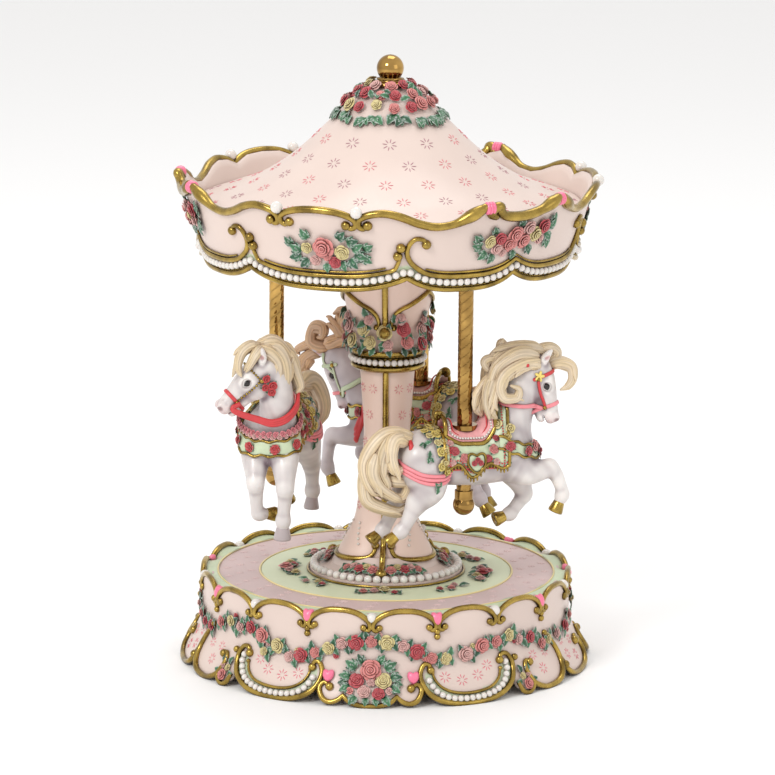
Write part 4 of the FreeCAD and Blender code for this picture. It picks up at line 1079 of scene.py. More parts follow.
bunches = Clay()
for fold in THIRDS:
    round_bunch = CANOPY + fold + 1.5
    blooms(bunches, CROWN, round_bunch, 1.2, [
        (0, 217.6, 1, 5.2), (-5.0, 216.6, 3, 2.8), (5.4, 215.6, 3, 3.6), (-2.6, 210.8, 2, 2.6),
        (3.2, 210.6, 0, 2.9),
        (1.0, 213.2, 1, 2.4)])
    leaf_fans(bunches, CROWN, round_bunch, 0.6, 0.6, [
        (-7, 215, 2.7, 6.4), (-7.4, 213, 3.5, 6.0), (-4.6, 221.4, 2.2, 6.0), (4.2, 221.8, .8, 6.0),
        (6.8, 220.4, .2, 6.2),
        (8.2, 217.0, .5, 6.4), (9.0, 214.8, -.3, 6.6), (7.6, 212.2, -.9, 5.8), (-5.2, 211, 4.0, 5.6),
        (0.6, 209.4, -1.5, 4.4),
        (-9.6, 217.6, 2.4, 5.4), (11.4, 217.4, .4, 5.4), (11.2, 213.6, -.6, 5.4), (5.2, 210.8, -1.2, 5.0)])
    slanting_bunch = CANOPY + fold + 60
    blooms(bunches, CROWN, slanting_bunch, 1.3, [
        (-10.6, 219.6, 3, 2.7), (-7.6, 220.4, 0, 2.8), (-4.6, 217.6, 1, 3.2), (-8.2, 216.2, 2, 2.7),
        (-2.8, 222.2, 1, 3.5),
        (0.4, 219.0, 1, 3.7), (-3.2, 218.0, 1, 2.8), (1.8, 224.6, 2, 3.1), (4.8, 221.0, 3, 3.3),
        (7.6, 224.2, 0, 3.4),
        (6.8, 218.6, 2, 2.6), (-6.2, 214.2, 2, 2.2)], 1.2)
    leaf_fans(bunches, CROWN, slanting_bunch, 0.6, 0.6, [
        (-13, 217.4, 3.0, 5.8), (-13.6, 219.6, 2.4, 5.8), (-11.6, 214.8, 3.9, 5.6), (-9.4, 213.2, 4.3, 5.2),
        (-9.2, 223.0, 1.9, 4.6), (-1.2, 226.0, 1.4, 5.2), (3.0, 215.4, -1.2, 5.2), (9.8, 220.0, -.8, 5.6),
        (10.6, 222.6, .9, 6.2), (10.2, 218.0, -1.3, 6.0), (-2, 213.8, -1.8, 4.6), (11.4, 225.4, 1.3, 5.2)])
bunches.build("canopy_bunches", FLORAL, "carousel", "rose_paint", ["canopy_bouquets"])

# ------------------------------------------------------------ roof
slope = smooth_path([(92.6, 223.9), (87, 225.8), (80, 228.5), (63.8, 234.8), (45.4, 247.0), (27, 264.4),
                     (18, 273.4),
                     (10, 278.6), (4.6, 280.0)], 60)
slope_in = slope[::-1] - (0, 2.2)
roof = Clay()
lathe(roof, np.vstack([slope, slope_in]), PALE_PINK, 180)
roof.build("roof", RESIN, "carousel", "pink_resin", ["roof_shell"])
ROOF_Z = through([tuple(p) for p in slope[::-1]])


def roof_lean(radius):
    """How much the roof's face leans outwards at a radius."""
    return float(ROOF_Z(radius - 0.5) - ROOF_Z(radius + 0.5))


strokes = Clay()
for row, (radius, count) in enumerate(((87.0, 24), (76.0, 22), (65.0, 20), (54.5, 17), (44.5, 15),
                                       (35.0, 12))):
    for k in range(count):
        b = (k + 0.5 * (row % 2)) * 360.0 / count + 3 * row
        z = float(ROOF_Z(radius))
        lean = roof_lean(radius)
        tint = paint(222, 120, 130) if dice.random() < 0.6 else paint(176, 124, 136)
        asterisk(strokes, spun(b, radius, z + 0.05), spun(b, lean, 1.0), 3.5, tint, dice.uniform(-.2, .2))
strokes.build("roof_asterisks", RESIN, "carousel", "pink_resin")
wreath = Clay()
for count, radius, size, start in ((9, 11.0, 3.0, 0), (13, 16.6, 3.4, 10), (17, 21.6, 3.3, 4)):
    for k in range(count):
        b = start + k * 360.0 / count + dice.uniform(-3, 3)
        r = radius + dice.uniform(-.8, .8)
        lean = roof_lean(r)
        place = spun(b, r, float(ROOF_Z(r)) + 2.4)
        out = spun(b, lean + 0.35, 1.0)
        flower(wreath, place, out, size * dice.uniform(0.8, 1.15), dice.choice(ROSE_TINTS))
for k in range(24):
    b = k * 15.0 + dice.uniform(-4, 4)
    r = 24.0 + dice.uniform(-1, 1.5)
    lean = roof_lean(r)
    place = spun(b, r, float(ROOF_Z(r)) + 1.0)
    for turn in (-0.7, 0.1, 0.8):
        leaf(wreath, place, spun(b, lean, 1.0), -1.57 + turn + dice.uniform(-.3, .3),
             dice.uniform(5.2, 7.0),
             lift=0.15)
for k in range(20):
    b, r = dice.uniform(0, 360), dice.uniform(11, 21)
    leaf(wreath, spun(b, r, float(ROOF_Z(r)) + 2.6), spun(b, 0.8, 1.0), dice.uniform(0, 6.28), 4.6,
         lift=0.4)
wreath.build("roof_wreath", FLORAL, "carousel", "rose_paint", ["roof_rose_wreath"])
knob = Clay()
outline = [(0.3, 280.0), (9.0, 280.0), (9.2, 281.0), (8.0, 281.8), (6.4, 282.0), (6.0, 282.6), (6.6, 283.2),
           (4.6, 283.7)]
outline += [(6.5 * math.cos(a), 288.0 + 6.5 * math.sin(a)) for a in np.linspace(-0.72, 1.52, 22)]
outline += [(0.3, 294.5)]
lathe(knob, outline, GOLD_TINT, 64)
knob.build("top_finial", BRASS, "carousel", "polished_brass", ["finial"])

# ------------------------------------------------------------ poles
POLE_RADIUS = 3.6
GROOVE_DEPTH = 0.3
GROOVE_RISE = 4.4
POLE_SIDES = 28
for key in ("1", "2", "3"):
    low, high = node_box("pole_" + key)
    centre = (low + high) / 2
    pole = Clay()
    heights = np.arange(low[2] + 0.02, high[2], 0.37)
    turn = np.linspace(0, 2 * np.pi, POLE_SIDES, endpoint=False)
    wind = heights[:, None] / GROOVE_RISE * 2 * np.pi - 4 * turn[None, :]
    groove = np.clip((np.cos(wind) - 0.86) / 0.14, 0, 1)
    radius = POLE_RADIUS - GROOVE_DEPTH * groove
    rows = np.stack([centre[0] + radius * np.cos(turn), centre[1] + radius * np.sin(turn),
                     heights[:, None] + 0 * turn], -1)
    ends = np.array([(centre[0], centre[1], heights[0]), (centre[0], centre[1], heights[-1])])
    total = len(heights) * POLE_SIDES
    loop = np.arange(POLE_SIDES)
    following = (loop + 1) % POLE_SIDES
    last = total - POLE_SIDES
    fans = np.concatenate([np.stack([np.full(POLE_SIDES, total), following, loop], 1),
                           np.stack([np.full(POLE_SIDES, total + 1), last + loop, last + following], 1)])
    pole.add(np.vstack([rows.reshape(-1, 3), ends]),
             (grid_faces(len(heights), POLE_SIDES, False, True), fans), GOLD_TINT)
    pole.build("spiral_pole_" + key, BRASS, "rider_" + key, "polished_brass", ["pole_" + key])


# ------------------------------------------------------------ horses
class Flesh:
    """A body modelled as a distance field on a grid, in millimetres, with smoothly joined volumes."""

    def __init__(self, low, high, cell):
        self.low, self.cell = np.array(low, float), cell
        self.size = np.ceil((np.array(high) - self.low) / cell).astype(int) + 1
        self.field = np.full(self.size, 7.0)

    def block(self, low, high):
        a = np.clip(((np.array(low) - self.low) / self.cell).astype(int), 0, self.size - 1)
        b = np.clip(((np.array(high) - self.low) / self.cell).astype(int) + 2, 1, self.size)
        axes = [self.low[i] + self.cell * np.arange(a[i], b[i]) for i in range(3)]
        grid = np.stack(np.meshgrid(*axes, indexing="ij"), -1)
        return tuple(slice(a[i], b[i]) for i in range(3)), grid

    def blend(self, where, distance, ease):
        here = self.field[where]
        h = np.clip(0.5 + 0.5 * (here - distance) / ease, 0, 1)
        self.field[where] = here * (1 - h) + distance * h - ease * h * (1 - h)

    def limb(self, stations, ease=2.5):
        """Round cones through (x, y, z, radius) stations."""
        stations = np.array(stations, float)
        if len(stations) > 2:
            stations = smooth_path(stations, 4 * len(stations) - 3)
        reach = stations[:, 3].max() + 6
        where, grid = self.block(stations[:, :3].min(0) - reach, stations[:, :3].max(0) + reach)
        near = np.full(grid.shape[:3], 1e3)
        for a, b in zip(stations, stations[1:]):
            run = b[:3] - a[:3]
            t = np.clip(((grid - a[:3]) @ run) / max(run @ run, 1e-9), 0, 1)
            d = np.linalg.norm(grid - a[:3] - t[..., None] * run, axis=-1) - (a[3] + (b[3] - a[3]) * t)
            h = np.clip(0.5 + 0.5 * (near - d) / 2.0, 0, 1)
            near = near * (1 - h) + d * h - 2.0 * h * (1 - h)
        self.blend(where, near + 0.8, ease)

    def egg(self, centre, radii, axes=None, ease=2.5, cut=False):
        """An ellipsoid; axes is a 3x3 matrix whose rows are its directions."""
        radii = np.array(radii, float)
        reach = max(radii) + 6
        where, grid = self.block(np.array(centre) - reach, np.array(centre) + reach)
        local = grid - np.array(centre)
        if axes is not None:
            local = local @ np.array(axes).T
        k0 = np.linalg.norm(local / radii, axis=-1)
        k1 = np.linalg.norm(local / radii ** 2, axis=-1)
        d = k0 * (k0 - 1) / np.maximum(k1, 1e-6)
        if cut:
            here = -self.field[where]
            h = np.clip(0.5 + 0.5 * (here - d) / ease, 0, 1)
            self.field[where] = -(here * (1 - h) + d * h - ease * h * (1 - h))
        else:
            self.blend(where, d, ease)

    def sample(self, points):
        at = (np.asarray(points) - self.low) / self.cell
        at = np.clip(at, 0, self.size - 1.001)
        i = at.astype(int)
        t = at - i
        out = 0
        for dx in (0, 1):
            for dy in (0, 1):
                for dz in (0, 1):
                    w = (np.abs(1 - dx - t[..., 0]) * np.abs(1 - dy - t[..., 1])
                         * np.abs(1 - dz - t[..., 2]))
                    out = out + w * self.field[i[..., 0] + dx, i[..., 1] + dy, i[..., 2] + dz]
        return out

    def gradient(self, points):
        points = np.asarray(points, float)
        steps = np.eye(3) * self.cell
        return unit(np.stack([self.sample(points + s) - self.sample(points - s) for s in steps], -1))

    def onto(self, points, out=0.0):
        """Points moved along the field's slope until they are out from the surface."""
        points = np.array(points, float)
        for _ in range(10):
            points = points - self.gradient(points) * (self.sample(points) - out)[..., None] * 0.9
        return points

    def ring(self, centre, first, second, angles, reach=20.0, out=0.0):
        """Where rays from a centre, at angles from first towards second, last leave the surface."""
        centre = np.array(centre, float)
        a = np.radians(np.asarray(angles, float))
        rays = np.cos(a)[:, None] * np.array(first, float) + np.sin(a)[:, None] * np.array(second, float)
        t = np.arange(reach, 0.5, -0.2)
        values = self.sample(centre + rays[:, None, :] * t[None, :, None])
        inside = values < 0
        hit = np.where(inside.any(1), inside.argmax(1), len(t) - 1)
        return centre + rays * (t[hit] + 0.1 + out)[:, None]

    def skin(self):
        """The surface as points and quads."""
        f = self.field
        inside = f < 0
        corner = [inside[dx:f.shape[0] - 1 + dx, dy:f.shape[1] - 1 + dy, dz:f.shape[2] - 1 + dz]
                  for dx in (0, 1) for dy in (0, 1) for dz in (0, 1)]
        total = sum(c.astype(int) for c in corner)
        live = (total > 0) & (total < 8)
        ids = np.full(live.shape, -1)
        cells = np.argwhere(live)
        ids[live] = np.arange(len(cells))
        value = {}
        for dx in (0, 1):
            for dy in (0, 1):
                for dz in (0, 1):
                    value[dx, dy, dz] = f[cells[:, 0] + dx, cells[:, 1] + dy, cells[:, 2] + dz]
        place, count = np.zeros((len(cells), 3)), np.zeros(len(cells))
        for p in value:
            for axis in range(3):
                if p[axis] == 0:
                    q = tuple(1 if i == axis else p[i] for i in range(3))
                    a, b = value[p], value[q]
                    crossing = (a < 0) != (b < 0)
                    t = np.where(crossing, a / np.where(crossing, a - b, 1), 0)
                    spot = np.array(p, float)[None, :] + np.eye(3)[axis][None, :] * t[:, None]
                    place += spot * crossing[:, None]
                    count += crossing
        points = self.low + (cells + place / count[:, None]) * self.cell
        quads = []
        for axis in range(3):
            u, v = (axis + 1) % 3, (axis + 2) % 3
            shift = np.eye(3, dtype=int)
            a = inside
            b = np.roll(inside, -1, axis)
            change = a != b
            keep = [slice(1, n - 1) for n in f.shape]
            mask = np.zeros_like(change)
            mask[tuple(keep)] = change[tuple(keep)]
            at = np.argwhere(mask)
            ring = [ids[tuple((at - shift[u] * i - shift[v] * j).T)] for i,
                    j in ((0, 0), (1, 0), (1, 1), (0, 1))]
            quad = np.stack(ring, 1)
            flip = a[tuple(at.T)]
            quad[~flip] = quad[~flip][:, ::-1]
            quads.append(quad[(quad >= 0).all(1)])
        return points, np.concatenate(quads)


def lock(clay, path, thick, thin, tint, phase=0.0):
    """A strand of hair: a tapering rod with grooves that run along it."""
    count = max(26, int(len(path) * 9))
    path = smooth_path(path, count)
    t = np.linspace(0, 1, count)
    size = thin + (thick - thin) * (1 - t) ** 0.8
    size = size * np.minimum(1, 0.55 + 3.0 * t) * np.minimum(1, 0.35 + 4.5 * (1 - t))
    sides = 44
    ahead = unit(np.gradient(path, axis=0))
    normal = np.zeros_like(path)
    normal[0] = unit(np.cross(ahead[0], (0.1, 1.0, 0.2)))
    for i in range(1, count):
        normal[i] = unit(normal[i - 1] - ahead[i] * (normal[i - 1] @ ahead[i]))
    side = np.cross(ahead, normal)
    turn = np.linspace(0, 2 * np.pi, sides, endpoint=False)
    groove = (0.6 * np.cos(11 * turn[None, :] + 2.4 * t[:, None] + phase)
              + 0.4 * np.cos(17 * turn[None, :] - 1.6 * t[:, None] + 2 * phase))
    reach = size[:, None] * (1 + 0.085 * groove + 0.07 * np.cos(3 * turn[None, :] + phase))
    rings = (path[:, None, :] + reach[..., None] * (normal[:, None, :] * np.cos(turn)[None, :, None]
             + side[:, None, :] * np.sin(turn)[None, :, None]))
    # Painted shade and light: the hair is darker down in its grooves and lighter on the ridges between them;
    # the streaks are a golden wash.
    shade = 0.9 + 0.2 * groove
    streak = np.clip(0.5 + 0.5 * np.cos(3 * turn[None, :] + 5 * t[:, None] + phase), 0, 1)[..., None] * 0.45
    colors = np.asarray(tint)[None, None, :] * (1 - streak) + np.asarray(tint) * (1.02, 0.92, 0.6) * streak
    colors = np.clip(colors * shade[..., None], 0, 1)
    points = np.vstack([rings.reshape(-1, 3), path[0] - ahead[0] * size[0] * 0.6,
                        path[-1] + ahead[-1] * size[-1]])
    total = count * sides
    loop = np.arange(sides)
    following = (loop + 1) % sides
    fan = np.concatenate([np.stack([np.full(sides, total), following, loop], 1),
                          np.stack([np.full(sides, total + 1), total - sides + loop,
                                    total - sides + following], 1)])
    colors = np.vstack([colors.reshape(-1, 3), [tint, tint]])
    clay.add(points, (grid_faces(count, sides, False, True), fan), colors)


def strap(clay, flesh, points, width, tint, thick=0.35, count=60, closed=False, out=0.3, ridges=1):
    """A strap laid on the body through points near its surface, as that many cords side by side."""
    path = flesh.onto(smooth_path(points, count, closed), out)
    up = flesh.gradient(path)
    if ridges == 1:
        sweep(clay, path, width / 2, tint, 10, closed, thick / (width / 2), up)
        return path
    side = unit(np.cross(np.gradient(path, axis=0), up))
    for k in range(ridges):
        shift = (k - (ridges - 1) / 2) * width / ridges
        line = flesh.onto(path + side * shift, out)
        sweep(clay, line, width / ridges * 0.56, tint, 8, closed, 1.0, up)
    return path


def beading(clay, path, radius, gap, tint, shape=None):
    """Beads set along a path."""
    run = np.concatenate([[0], np.cumsum(np.linalg.norm(np.diff(path, axis=0), axis=1))])
    at = np.linspace(0, run[-1], max(2, int(run[-1] / gap)))
    for place in np.stack([np.interp(at, run, path[:, k]) for k in range(3)], 1):
        ball(clay, place, radius, tint, shape or SMALL_BALL)


WHITE_HIDE = paint(236, 231, 226)
GREY_HIDE = paint(208, 200, 202)
BLOND = paint(226, 208, 180)
TAN = paint(214, 178, 146)
RED_PAINT = paint(206, 58, 62)
ROSE_PAINT = paint(238, 140, 148)
SEAT_PINK = paint(244, 176, 178)
SEAT_MAUVE = paint(196, 150, 140)
YELLOW = paint(240, 218, 120)

POLE_FOOT = 88.0
# Each horse is shaped about its pole facing +X, its pole starting at POLE_FOOT above the table.
HORSES = {
    "1": dict(
        heading=-105.0, cell=0.6, hide=WHITE_HIDE, hair=BLOND, poll=(34.4, 3.4, 145.2),
        muzzle=(45.6, -16.6, 124.6), brow=(0.1, 0, 1.0), scale=0.96,
        neck=[(19, 4.6, 112, 11.0), (25, 7.6, 121, 8.6), (28, 8.2, 131, 8.0), (29.4, 7.0, 139, 7.6),
              (32, 3.0, 144.4, 6.8)],
        chest=[(22, 5.2, 108.5, 11.2), (27, 1.8, 105.5, 7.6), (27, 9.8, 105.5, 7.8)],
        legs=[[(24, -3, 103, 8.0), (31, -1.0, 96, 6.0), (36, 0.4, 88.5, 4.1), (34.5, 0.2, 84, 3.4),
               (32.5, 0, 77, 2.9),
               (30.5, 0.4, 72.6, 3.3), (27.5, 3.0, 72.0, 2.8)],
              [(24, 11, 103, 8.0), (31, 13.4, 96, 6.0), (35, 14.8, 87, 4.2), (34, 14.4, 82.5, 3.4),
               (33, 13.6, 74.5, 2.9), (32.6, 13.2, 70.6, 3.4), (32.4, 13.0, 67.4, 3.1)],
              [(-22, 6, 103, 10.0), (-25, 8.0, 93, 7.2), (-31.5, 8.6, 84.5, 4.6), (-33, 8.6, 80, 3.6),
               (-34.5, 8.4, 73.5, 3.0),
               (-35.5, 8.2, 69.8, 3.5), (-35.5, 8, 66.6, 3.0)],
              [(-22, -6, 103, 10.0), (-25, -7.0, 93, 7.2), (-31.5, -7.6, 84.5, 4.6), (-33, -7.6, 80, 3.6),
               (-36.5, -7.4, 73.5, 3.0), (-38.6, -7.2, 69.8, 3.4), (-40.4, -7, 66.8, 3.0)]]),
    "2": dict(
        heading=156.0, cell=0.6, hide=GREY_HIDE, hair=TAN, poll=(47.6, 0, 132.2),
        muzzle=(42.4, 1.4, 111.0), brow=(1.0, 0.12, 0), scale=0.9,
        neck=[(19, 0, 109, 12.5), (27, 0, 112, 11.2), (33, 0, 119, 10.0), (39.5, 0, 127.5, 9.0),
              (46, 0, 132, 7.4)],
        chest=[(22, 0, 104.5, 12.6), (28, -4, 101.5, 8.2), (28, 4, 101.5, 8.2)],
        legs=[[(24, 6, 98, 8.0), (31, 7, 94, 6.0), (44.5, 7.6, 92.4, 3.9), (46.2, 7.6, 88.5, 3.2),
               (47.2, 7.4, 81, 2.8),
               (47.4, 7.2, 76.4, 3.2), (45.8, 7, 72.6, 2.8)],
              [(24, -6, 98, 8.0), (30, -7, 90, 5.8), (34.5, -7.6, 82, 4.0), (32.2, -7.6, 79, 3.2),
               (26, -7.4, 76, 2.8),
               (22.2, -7.2, 75.0, 3.2), (19.8, -7, 73.4, 2.8)],
              [(-22, 6, 103, 10.0), (-24, 8.0, 93, 7.2), (-29.5, 8.6, 84.5, 4.6), (-31, 8.6, 80, 3.6),
               (-33.5, 8.4, 73, 3.0),
               (-35.5, 8.2, 68.8, 3.4), (-37.5, 8, 66, 2.9)],
              [(-22, -6, 103, 10.0), (-24, -7.0, 93, 7.2), (-27, -7.6, 84.5, 4.6), (-28.5, -7.6, 80, 3.6),
               (-29.5, -7.4, 73, 3.0), (-31, -7.2, 68.8, 3.4), (-32.6, -7, 65.8, 2.9)]]),
    "3": dict(
        heading=15.0, cell=0.6, hide=WHITE_HIDE, hair=BLOND, poll=(34.4, -2.2, 151.4),
        muzzle=(41.2, -5.2, 131.0), brow=(0.96, -0.22, 0.3), scale=0.94,
        neck=[(19, 0, 112, 12.5), (21.5, -0.5, 122, 10.8), (24, -1.4, 133, 9.6), (27, -2, 142, 9.0),
              (32.6, -2.2, 149.5, 7.6)],
        chest=[(20.5, 0, 109.5, 12.9), (25.5, -4, 106.5, 8.8), (25.5, 4, 106.5, 8.8)],
        legs=[[(24, -6, 103, 8.0), (30, -7.4, 100.5, 6.2), (40, -8.0, 102.2, 4.1), (43.4, -8.0, 98.5, 3.3),
               (46.2, -7.9, 91.6, 2.8), (46.6, -7.8, 88.6, 3.2), (45.4, -7.6, 85.6, 2.8)],
              [(24, 6, 101, 8.0), (29.5, 7.2, 93.5, 5.8), (32.4, 8.0, 86.5, 3.9), (30.6, 8.0, 83.4, 3.1),
               (27.4, 8.0, 79.2, 2.8), (25.4, 8.0, 76.8, 3.1), (22.8, 7.8, 76.0, 2.8)],
              [(-21, -6, 103, 10.4), (-19.5, -8.0, 95.5, 8.2), (-25.5, -8.4, 88.6, 4.9),
               (-27.4, -8.4, 85, 3.9),
               (-30.5, -8.2, 78.6, 3.0), (-33.0, -8.0, 75.0, 3.3), (-35.2, -7.8, 73.2, 2.8)],
              [(-21, 6, 103, 10.4), (-21, 8.0, 95, 8.0), (-30, 8.4, 87.4, 4.7), (-32, 8.4, 83, 3.8),
               (-35.5, 8.2, 75.6, 3.0), (-37.8, 8.0, 72.0, 3.3), (-39.8, 7.8, 70.4, 2.8)]]),
}
# Hair: each lock is its route from root to tip in whole millimetres about the pole's foot, facing +X, and its
# radius at the root and at the tip.
MANES = {
    "1": [  # forelock over the brow, then falls down the near side of the neck
        ([(36, 2, 155), (39, -2, 155), (42, -5, 152), (44, -6, 146), (45, -4, 142)], 3.8, 1.8),
        ([(38, 4, 155), (41, 2, 152), (43, 0, 148), (44, -2, 144)], 3.4, 1.6),
        ([(34, 1, 155), (31, 7, 156), (28, 11, 152), (26, 13, 146), (27, 13, 139), (31, 8, 128)], 5, 2.4),
        ([(37, 2, 154), (35, 7, 152), (32, 10, 146), (33, 10, 139), (35, 8, 132)], 4.8, 2),
        ([(34, 5, 155), (32, 9, 153), (30, 12, 147), (30, 13, 138), (32, 10, 130)], 5, 2.2),
        ([(26, 11, 153), (24, 14, 147), (22, 16, 140), (22, 18, 134), (24, 17, 131)], 4.6, 2.6),
        ([(24, 8, 154), (22, 11, 151), (20, 14, 145), (20, 15, 138), (22, 15, 132)], 5, 2.6),
        ([(27, 13, 144), (27, 14, 146), (27, 16, 148), (27, 16, 149)], 2.4, 1),
    ],
    "2": [  # blown forward: forelock, curl over the poll, tufts behind it
        ([(52, 2, 135), (57, 3, 137), (63, 3, 135), (66, 3, 133), (65, 3, 131)], 4, 1.8),
        ([(53, 2, 133), (58, 3, 132), (62, 4, 128), (61, 4, 123), (55, 4, 120)], 4, 1.8),
        ([(47, 1, 138), (51, 3, 136), (56, 4, 137), (58, 4, 140), (56, 4, 146), (51, 5, 146), (51, 6, 142),
          (54, 6, 141)], 5, 2.2),
        ([(37, 2, 142), (43, 3, 140), (47, 4, 138), (51, 5, 138)], 5.2, 3.4),
        ([(38, 0, 144), (42, 1, 146), (42, 2, 151), (38, 2, 154), (42, 2, 155), (47, 2, 153)], 5, 2),
        ([(41, 4, 142), (44, 4, 147), (47, 4, 150)], 4.2, 1.8),
        ([(37, -2, 142), (39, -2, 147), (36, -2, 151), (39, -2, 153)], 4.6, 2.4),
        ([(58, 4, 130), (61, 4, 125), (64, 4, 124)], 3.2, 1.2),
    ],
    "3": [  # two curls at the brow, long waves back and down the neck, and one fall on the far side
        ([(40, -1, 150), (45, -2, 152), (51, -3, 150), (52, -4, 145), (50, -4, 141), (46, -4, 139)], 4.2,
         1.6),
        ([(42, 0, 152), (45, 0, 156), (42, 0, 159), (37, -1, 159), (33, -2, 157)], 3.4, 2.4),
        ([(37, -2, 158), (27, -3, 160), (18, -3, 159), (13, -3, 155), (11, -3, 150)], 4.8, 3),
        ([(34, -5, 156), (24, -7, 158), (15, -7, 153), (12, -7, 146), (8, -6, 138)], 4.8, 3),
        ([(34, -7, 154), (25, -9, 153), (17, -10, 149), (14, -11, 143), (16, -12, 138), (22, -12, 138),
          (23, -12, 142), (19, -12, 144)], 4.4, 2),
        ([(21, -2, 157), (17, -2, 159), (17, -2, 163), (20, -2, 161)], 3.4, 1.6),
        ([(15, -3, 155), (10, -3, 155), (9, -3, 153), (12, -4, 149)], 3.4, 2),
        ([(16, -2, 148), (11, -2, 143), (7, -2, 137), (6, -2, 132), (8, -2, 128)], 5, 3),
        ([(13, -7, 148), (10, -8, 142), (9, -9, 136), (10, -10, 131), (13, -10, 128)], 4.6, 2.4),
        ([(19, -9, 151), (14, -10, 144), (11, -11, 136), (13, -11, 132)], 3.8, 1.8),
        ([(34, -8, 152), (28, -9, 153), (22, -10, 151), (19, -10, 146)], 3.2, 1.8),
        ([(39, 4, 156), (30, 5, 158), (21, 6, 157), (16, 6, 153), (13, 6, 148), (12, 6, 140), (10, 6, 131)],
         5, 3),
    ],
}
TAILS = {
    "1": [  # arched up from the dock, then straight down
        ([(-30, 3, 123), (-36, 5, 125), (-40, 8, 123), (-42, 11, 116), (-42, 12, 109), (-40, 10, 101)], 5.4,
         2.6),
        ([(-32, 3, 122), (-40, 3, 123), (-46, 5, 118), (-47, 6, 111), (-45, 8, 103)], 5, 2.4),
        ([(-31, 5, 123), (-42, 5, 122), (-47, 7, 119), (-49, 8, 109), (-47, 8, 102), (-43, 8, 97)], 4.6, 2),
    ],
    "3": [  # arched up, down in waves, and curled forward at the hocks
        ([(-26, -1, 118), (-32, -1, 120), (-39, -1, 120), (-45, -1, 115), (-49, -1, 107), (-48, -2, 99),
          (-44, -2, 93), (-39, -2, 95)], 5.4, 2.6),
        ([(-28, -4, 118), (-35, -4, 119), (-40, -5, 114), (-42, -5, 105), (-39, -5, 97), (-41, -5, 93)], 5,
         2.4),
        ([(-30, -5, 117), (-36, -7, 119), (-38, -8, 112), (-36, -8, 105), (-31, -7, 106), (-29, -6, 110)],
         4.6, 2.2),
        ([(-46, 1, 108), (-48, 1, 97), (-47, 0, 89), (-40, -1, 85), (-32, -2, 83), (-27, -2, 87),
          (-29, -2, 89)],
         5, 2.2),
        ([(-39, -2, 100), (-34, -3, 99), (-29, -3, 98), (-28, -3, 94), (-31, -3, 90), (-37, -3, 91)], 4.6,
         2.2),
        ([(-44, -4, 112), (-46, -5, 104), (-43, -5, 97), (-37, -5, 92), (-30, -4, 88)], 4.4, 2),
        ([(-25, 4, 116), (-32, 4, 117), (-39, 4, 114), (-43, 4, 104), (-42, 3, 94), (-37, 2, 88)], 5.2,
         2.6),
    ],
}
TAILS["2"] = [([(x, -y, z) for x, y, z in path], a, b) for path, a, b in TAILS["3"]]


def head_frame(horse):
    """The head's place and axes: along the face, out of the forehead, and to its left."""
    poll, muzzle = np.array(horse["poll"], float), np.array(horse["muzzle"], float)
    ahead = unit(muzzle - poll)
    brow = np.array(horse["brow"], float)
    front = unit(brow - ahead * (brow @ ahead))
    left = np.cross(front, ahead)
    if left[1] < 0 and abs(left[1]) > 0.3:
        left = -left
    return poll, np.stack([ahead, front, left]), horse["scale"]


